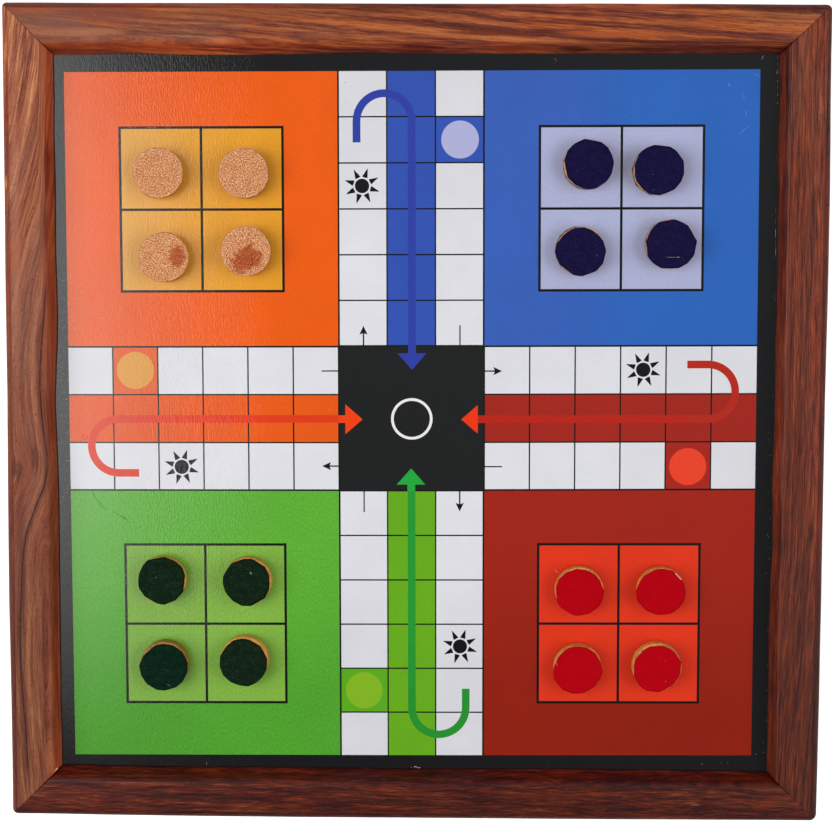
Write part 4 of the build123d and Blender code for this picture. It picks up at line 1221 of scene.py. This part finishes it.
def velour(name, seed, stain=None):
    """Looped nap, pale on top of the loops and red-brown between them."""
    s = Shader(name)
    x, y, z, p = s.place_mm()
    a = s.node("Attribute", attribute_name="pile")
    b = s.node("Attribute", attribute_name="rim")
    nap = s.noise(s.xyz(s.mul(x, 0.30), s.mul(y, 0.30), seed), 1.0, 3.0, 0.6)
    fine = s.noise(p, 3.6, 2.0, 0.6)
    f = s.madd(a.outputs["Fac"], 0.70, s.madd(nap, 0.18, s.mul(fine, 0.12)))
    col = s.ramp(s.span(f, 0.25, 0.72), [
        (0.0, rgb(148, 64, 26)), (0.25, rgb(181, 99, 49)), (0.5, rgb(206, 141, 86)), (0.76, rgb(228, 177, 130)),
        (1.0, rgb(250, 220, 192))])
    # here and there a thread is more orange
    col = s.mix(s.span(s.noise(p, 1.9, 2.0, 0.6), 0.50, 0.62, 0.0, 0.50), col, rgb(216, 112, 66))
    # bare threads just inside the cut edge catch the light, the edge itself is darker
    thread = s.span(s.noise(p, 1.5, 2.0, 0.6), 0.50, 0.60)
    rim = b.outputs["Fac"]
    col = s.mix(s.mul(s.span(rim, 0.70, 0.95, 0.0, 1.0, True), 0.45), col, rgb(232, 158, 92))
    band = s.mul(s.span(rim, 0.22, 0.42, 0.0, 1.0, True), s.span(rim, 0.66, 0.86, 1.0, 0.0, True))
    col = s.mix(s.mul(s.mul(band, thread), 0.85), col, rgb(238, 206, 182))
    if stain:
        cx, cy, rx, ry, ang, much = stain
        c, sn = math.cos(math.radians(ang)), math.sin(math.radians(ang))
        dx, dy = s.sub(x, cx), s.sub(y, cy)
        e1 = s.mul(s.madd(dx, c, s.mul(dy, sn)), 1 / rx)
        e2 = s.mul(s.madd(dx, -sn, s.mul(dy, c)), 1 / ry)
        r = s.math("SQRT", s.add(s.mul(e1, e1), s.mul(e2, e2)))
        r = s.madd(s.sub(s.noise(p, 0.55, 3.0, 0.7), 0.5), 1.7, r)
        brushed = s.mix(1.0, col, (0.64, 0.295, 0.18, 1.0), "MULTIPLY")
        col = s.mix(s.mul(s.span(r, 0.70, 1.15, 1.0, 0.0, True), much), col, brushed)
    return s.finish(Base_Color=col, Roughness=s.span(fine, 0.3, 0.7, 0.92, 0.8), Normal=s.bump(fine, 0.06),
                    Specular_IOR_Level=0.12, Sheen_Weight=0.04, Sheen_Roughness=0.5)


def velvet_mesh(name, centre, corners, step, pile_mm, pile_size, fuzz, mat, seed, loops=0.0):
    """A hand-cut top with real thickness: pile standing over a flat back, cut edge rounded over.
    loops: how strongly the pile stands in rows of knitted loops."""
    rnd = random.Random(seed)
    cx, cy = centre
    ang = [math.radians(a) for a, _ in corners]
    rad = [r for _, r in corners]

    def reach(a):
        a %= 2 * math.pi
        for i in range(len(ang)):
            j = (i + 1) % len(ang)
            a0, a1 = ang[i], ang[j] + (2 * math.pi if j == 0 else 0)
            b = a if a >= a0 or j else a + 2 * math.pi
            if j == 0 and a < ang[0]:
                b = a + 2 * math.pi
            if a0 <= b <= a1:
                den = rad[i] * math.sin(b - a0) + rad[j] * math.sin(a1 - b)
                return rad[i] * rad[j] * math.sin(a1 - a0) / den
        return rad[0]

    n = int(2 * math.pi * 9.0 / step)
    edge = []
    for k in range(n):
        a = 2 * math.pi * k / n
        r = reach(a) + fuzz * (rnd.random() - 0.55) + 0.6 * fuzz * math.sin(k * 2.1 + rnd.random() * 2)
        edge.append((r * math.cos(a), r * math.sin(a)))
    inner = []
    row = step * math.sqrt(3) / 2
    m = int(9.8 / row)
    for i in range(-m, m + 1):
        for j in range(int(-9.8 / step), int(9.8 / step) + 1):
            x = (j + 0.5 * (i % 2)) * step + (rnd.random() - 0.5) * step * 0.35
            y = i * row + (rnd.random() - 0.5) * step * 0.35
            r = math.hypot(x, y)
            if r < reach(math.atan2(y, x)) - step * 0.62:
                inner.append((x, y))
    flat = [Vector(p) for p in edge + inner]
    verts, _, tris, _, _, _ = delaunay_2d_cdt(flat, [], [list(range(n))], 1, 1e-6, False)
    pts, pile, rim = [], [], []
    off = Vector((cx * 1.0, cy * 1.0, seed * 7.0))
    for k, v in enumerate(verts):
        r = v.length
        d = reach(math.atan2(v.y, v.x)) - r
        roll = max(0.0, 1 - d / (0.80 if loops else 0.55))
        q = Vector((v.x, v.y, 0)) / pile_size + off
        tuft = noise.noise(q) * 0.6 + noise.noise(q * 2.3 + Vector((9, 4, 2))) * 0.4
        if loops:
            w = off + Vector((v.x, v.y, 0)) / 5.0
            tu, tv = 1.6 * noise.noise(w), 1.6 * noise.noise(w + Vector((7, 3, 5)))
            lu = v.x * math.cos(seed) + v.y * math.sin(seed) + tu
            lv = -v.x * math.sin(seed) + v.y * math.cos(seed) + tv
            row = math.floor(lu / 0.62)
            tuft = (1 - loops) * tuft + loops * (0.30 * math.cos(2 * math.pi * lu / 0.62 + math.pi)
                                                 + 0.30 * math.cos(2 * math.pi * lv / 0.58 + 2.4 * row)) + 0.25 * tuft
        lump = noise.noise(Vector((v.x, v.y, 0)) / 3.1 + off)
        stand = min(1.0, max(0.0, 0.5 + tuft * 0.95))
        z = VELVET_Z1 - pile_mm + pile_mm * stand + 0.05 * lump - (0.24 if loops else 0.36) * roll ** (4 if loops else 2)
        pts.append((cx + v.x, cy + v.y, min(z, VELVET_Z1 + 0.08)))
        pile.append(stand * (1 - (0.1 if loops else 0.5) * roll))
        rim.append(roll)
    faces = [tuple(t) for t in tris]
    # the outline of the top, in order, taken from the faces' free edges
    used = {}
    for t in faces:
        for a, b in zip(t, t[1:] + t[:1]):
            used[(a, b)] = True
    free = {a: b for a, b in used if (b, a) not in used}
    start = next(iter(free))
    ring, at = [start], free[start]
    while at != start:
        ring.append(at)
        at = free[at]
    levels = [(18.34, 0.05), (18.16, 0.02), (VELVET_Z0, -0.02)]
    last = ring
    for z, bulge in levels:
        new = []
        for k in ring:
            x, y = pts[k][0] - cx, pts[k][1] - cy
            r = math.hypot(x, y)
            g = (r + bulge + fuzz * 0.25 * (rnd.random() - 0.5)) / r
            new.append(len(pts))
            pts.append((cx + x * g, cy + y * g, z))
            pile.append(0.25)
            rim.append(0.8)
        for i in range(len(ring)):
            j = (i + 1) % len(ring)
            faces.append((last[j], last[i], new[i], new[j]))
        last = new
    hub = len(pts)
    pts.append((cx, cy, VELVET_Z0))
    pile.append(0.3)
    rim.append(0.3)
    for i in range(len(last)):
        faces.append((hub, last[(i + 1) % len(last)], last[i]))
    ob = mesh_object(name, pts, faces, [mat], sharp_deg=80)
    for key, values in (("pile", pile), ("rim", rim)):
        at = ob.data.attributes.new(key, "FLOAT", "POINT")
        at.data.foreach_set("value", np.asarray(values, np.float32))
    tidy(ob)
    ob.data.set_sharp_from_angle(angle=math.radians(80))
    return ob


def disc_mesh(name, centre, radius, mat, seed):
    """The wooden disc: sawn round, so a little off true, with both arrises broken."""
    cx, cy = centre
    n = 96
    prof = [(radius - 0.22, DISC_Z0), (radius - 0.05, DISC_Z0 + 0.10), (radius, DISC_Z0 + 0.28)]
    prof += [(radius, DISC_Z0 + 0.28 + (3.4) * k / 6) for k in range(1, 7)]
    prof += [(radius - 0.04, VELVET_Z0 - 0.34), (radius - 0.14, VELVET_Z0 - 0.14), (radius - 0.32, VELVET_Z0)]
    pts = []
    for k in range(n):
        a = 2 * math.pi * k / n
        for j, (r, z) in enumerate(prof):
            off = 0.05 * noise.noise(Vector((math.cos(a) * 1.2 + seed, math.sin(a) * 1.2, z * 0.25)))
            off += 0.016 * noise.noise(Vector((math.cos(a) * 2.0 + seed, math.sin(a) * 2.0, z * 3.5)))
            pts.append((cx + (r + off - 0.02) * math.cos(a), cy + (r + off - 0.02) * math.sin(a), z))
    m = len(prof)
    faces = []
    for k in range(n):
        k2 = (k + 1) % n
        for j in range(m - 1):
            faces.append((k * m + j, k2 * m + j, k2 * m + j + 1, k * m + j + 1))
    low, top = len(pts), len(pts) + 1
    pts += [(cx, cy, DISC_Z0), (cx, cy, VELVET_Z0)]
    for k in range(n):
        k2 = (k + 1) % n
        faces.append((low, k2 * m, k * m))
        faces.append((top, k * m + m - 1, k2 * m + m - 1))
    ob = mesh_object(name, pts, faces, [mat])
    tidy(ob)
    ob.data.set_sharp_from_angle(angle=math.radians(35))
    return ob


VELVETS = {
    "blue": [(0.0, rgb(14, 11, 38)), (0.35, rgb(20, 16, 52)), (0.7, rgb(28, 22, 70)), (1.0, rgb(46, 37, 100))],
    "green": [(0.0, rgb(8, 20, 12)), (0.35, rgb(13, 30, 17)), (0.7, rgb(20, 42, 25)), (1.0, rgb(38, 64, 44))],
    "green_3": [(0.0, rgb(2, 22, 13)), (0.35, rgb(6, 32, 19)), (0.7, rgb(10, 42, 26)), (1.0, rgb(24, 64, 44))],
    "red": [(0.0, rgb(166, 0, 10)), (0.35, rgb(182, 0, 15)), (0.7, rgb(192, 0, 20)), (1.0, rgb(208, 10, 34))],
}
SHEEN = {"blue": (0.05, 0.7), "green": (0.05, 0.9), "red": (0.0, 0.55)}
STAINS = {"tan_3": (-87.97, 59.50, 3.1, 4.4, 0, 0.85), "tan_4": (-62.35, 58.6, 6.0, 4.5, 35, 0.95)}
# how bright the sawn side is, and its hue: one wood made in brighter and tinted copies per colour, partly painted light
# where the light catches the sides of the blue, green and red counters
SAWN = {"tan": (1.08, (1, 1, 1)), "blue": (1.30, (1.0, 1.12, 1.40)), "green": (1.25, (1.0, 1.12, 0.90)), "red": (1.28, (1.0, 0.98, 0.92))}
HAIRS = {
    "blue_2": [(86.95, 90.32, 87.2, 90.32, 0.14, (150, 145, 140), 0.5), (87.25, 84.68, 87.45, 84.7, 0.12, (150, 145, 150), 0.45)],
    "blue_3": [(66.85, 60.6, 67.15, 60.68, 0.14, (170, 165, 160), 0.6), (59.1, 64.0, 59.25, 63.9, 0.10, (140, 130, 130), 0.45)],
    "blue_4": [(92.58, 60.02, 96.7, 60.04, 0.08, (180, 168, 116), 0.6), (96.75, 60.0, 97.0, 60.1, 0.16, (206, 196, 156), 0.75)],
    "green_1": [(-96.97, -60.7, -96.77, -60.58, 0.14, (180, 170, 96), 0.7)],
    "green_2": [(-61.35, -58.3, -60.95, -59.05, 0.11, (200, 214, 205), 0.7), (-60.85, -58.5, -61.4, -58.85, 0.09, (180, 200, 190), 0.6)],
    "green_3": [(-92.9, -101.3, -91.6, -101.85, 0.26, (90, 114, 98), 0.4), (-93.85, -93.2, -93.6, -93.36, 0.12, (96, 122, 104), 0.45)],
    "green_4": [(-59.3, -99.95, -58.4, -99.4, 0.26, (88, 104, 86), 0.4)],
    "red_2": [(98.0, -57.75, 100.1, -59.95, 0.26, (236, 208, 208), 0.9)],
    "red_3": [(53.8, -91.9, 53.98, -92.9, 0.16, (200, 146, 154), 0.5)],
    "red_4": [(94.75, -98.45, 94.97, -98.63, 0.14, (216, 140, 140), 0.65), (94.25, -90.8, 94.42, -91.04, 0.12, (204, 100, 106), 0.55)],
}
rubber = magnet_rubber()
for index, (name, (centre, radius, shift, slip, corners)) in enumerate(COUNTERS.items()):
    body = "counter_" + name
    colour = name.split("_")[0]
    bright, hue = SAWN[colour]
    wood = turned_wood("counter_wood_" + name, 1.7 + index, 0.60 if name == "green_3" else bright, hue)
    ob = disc_mesh("turned_disc_" + name, centre, radius, wood, index * 3.3)
    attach(ob, body)
    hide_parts("disc_" + name)
    at = (centre[0] + shift[0], centre[1] + shift[1])
    if colour == "tan":
        mat = velour("velour_" + name, 5.0 + index, STAINS.get(name))
        top = velvet_mesh("velvet_top_" + name, at, corners, 0.19, 0.26, 0.40, 0.15, mat, 100 + index, loops=0.26)
    else:
        stops = VELVETS["green_3" if name == "green_3" else colour]
        sheen, flat = SHEEN[colour]
        mat = velvet("velvet_" + name, stops, 5.0 + index, edge=(stops[0][1], 0.25), sheen=sheen, flat=flat, marks=HAIRS.get(name, ()))
        top = velvet_mesh("velvet_top_" + name, at, corners, 0.30, 0.11, 0.55, 0.07, mat, 100 + index)
    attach(top, body)
    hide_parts("velvet_" + name)
    area = 0.5 * sum(corners[i - 1][1] * corners[i][1] * math.sin(math.radians((corners[i][0] - corners[i - 1][0]) % 360))
                     for i in range(len(corners)))
    wide = [max(f(math.radians(a)) * r for a, r in corners) - min(f(math.radians(a)) * r for a, r in corners)
            for f in (math.cos, math.sin)]
    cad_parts["magnet_" + name].data.materials.clear()
    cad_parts["magnet_" + name].data.materials.append(rubber)


# ---- what is under the play sheet ----------------------------------------------------
def plywood():
    s = Shader("plywood_back")
    x, y, z, p = s.place_mm()
    w1 = s.sub(s.noise(s.xyz(s.mul(x, 0.012), s.mul(y, 0.03), 2.0), 1.0, 3.0, 0.5), 0.5)
    d = s.madd(w1, 46.0, y)
    ring = s.noise(s.xyz(s.mul(x, 0.004), s.mul(d, 0.16), 1.0), 1.0, 3.0, 0.6)
    fine = s.noise(s.xyz(s.mul(x, 0.05), s.mul(d, 1.8), 5.0), 1.0, 3.0, 0.6)
    pore = s.span(s.noise(s.xyz(s.mul(x, 0.35), s.mul(d, 4.5), 8.0), 1.0, 1.0), 0.64, 0.70)
    f = s.span(s.madd(ring, 0.6, s.mul(fine, 0.4)), 0.36, 0.64)
    col = s.ramp(f, [(0.0, rgb(160, 118, 80)), (0.5, rgb(196, 158, 116)), (1.0, rgb(216, 184, 144))])
    col = s.mix(s.mul(pore, 0.45), col, rgb(120, 80, 52))
    grime = s.noise(p, 0.012, 3.0, 0.6)
    col = s.mix(s.span(grime, 0.5, 0.75, 0.0, 0.25), col, rgb(128, 98, 70))
    return s.finish(Base_Color=col, Roughness=s.span(fine, 0.3, 0.7, 0.72, 0.6),
                    Normal=s.bump(s.sub(s.mul(fine, 0.5), pore), 0.05), Specular_IOR_Level=0.3)


def metal(name, dark, light, rough, seed, bump_mm=0.01):
    s = Shader(name)
    x, y, z, p = s.place_mm()
    cloud = s.noise(p, 0.25, 4.0, 0.6)
    drawn = s.noise(s.xyz(s.mul(x, 1.6), s.mul(y, 1.6), s.mul(z, 9.0)), 1.0, 2.0, 0.6)
    col = s.mix(s.span(s.madd(cloud, 0.7, s.mul(drawn, 0.3)), 0.35, 0.65), dark, light)
    return s.finish(Base_Color=col, Metallic=1.0, Roughness=s.span(drawn, 0.3, 0.7, rough - 0.06, rough + 0.08),
                    Normal=s.bump(drawn, bump_mm))


def fibreboard():
    s = Shader("fibreboard_core")
    x, y, z, p = s.place_mm()
    fluff = s.noise(p, 1.4, 4.0, 0.7)
    col = s.mix(s.span(fluff, 0.35, 0.65), rgb(142, 104, 70), rgb(178, 140, 100))
    return s.finish(Base_Color=col, Roughness=0.85, Normal=s.bump(fluff, 0.05), Specular_IOR_Level=0.2)


def dress(node, mat):
    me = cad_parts[node].data
    me.materials.clear()
    me.materials.append(mat)


dress("back_panel", plywood())
dress("core_board", fibreboard())
dress("steel_sheet", metal("tinned_steel", rgb(150, 152, 154), rgb(196, 198, 198), 0.34, 1.0))
nail = metal("nail_steel", rgb(120, 118, 114), rgb(172, 170, 164), 0.38, 2.0)
dress("back_panel_brads", nail)
dress("mitre_v_nails", nail)
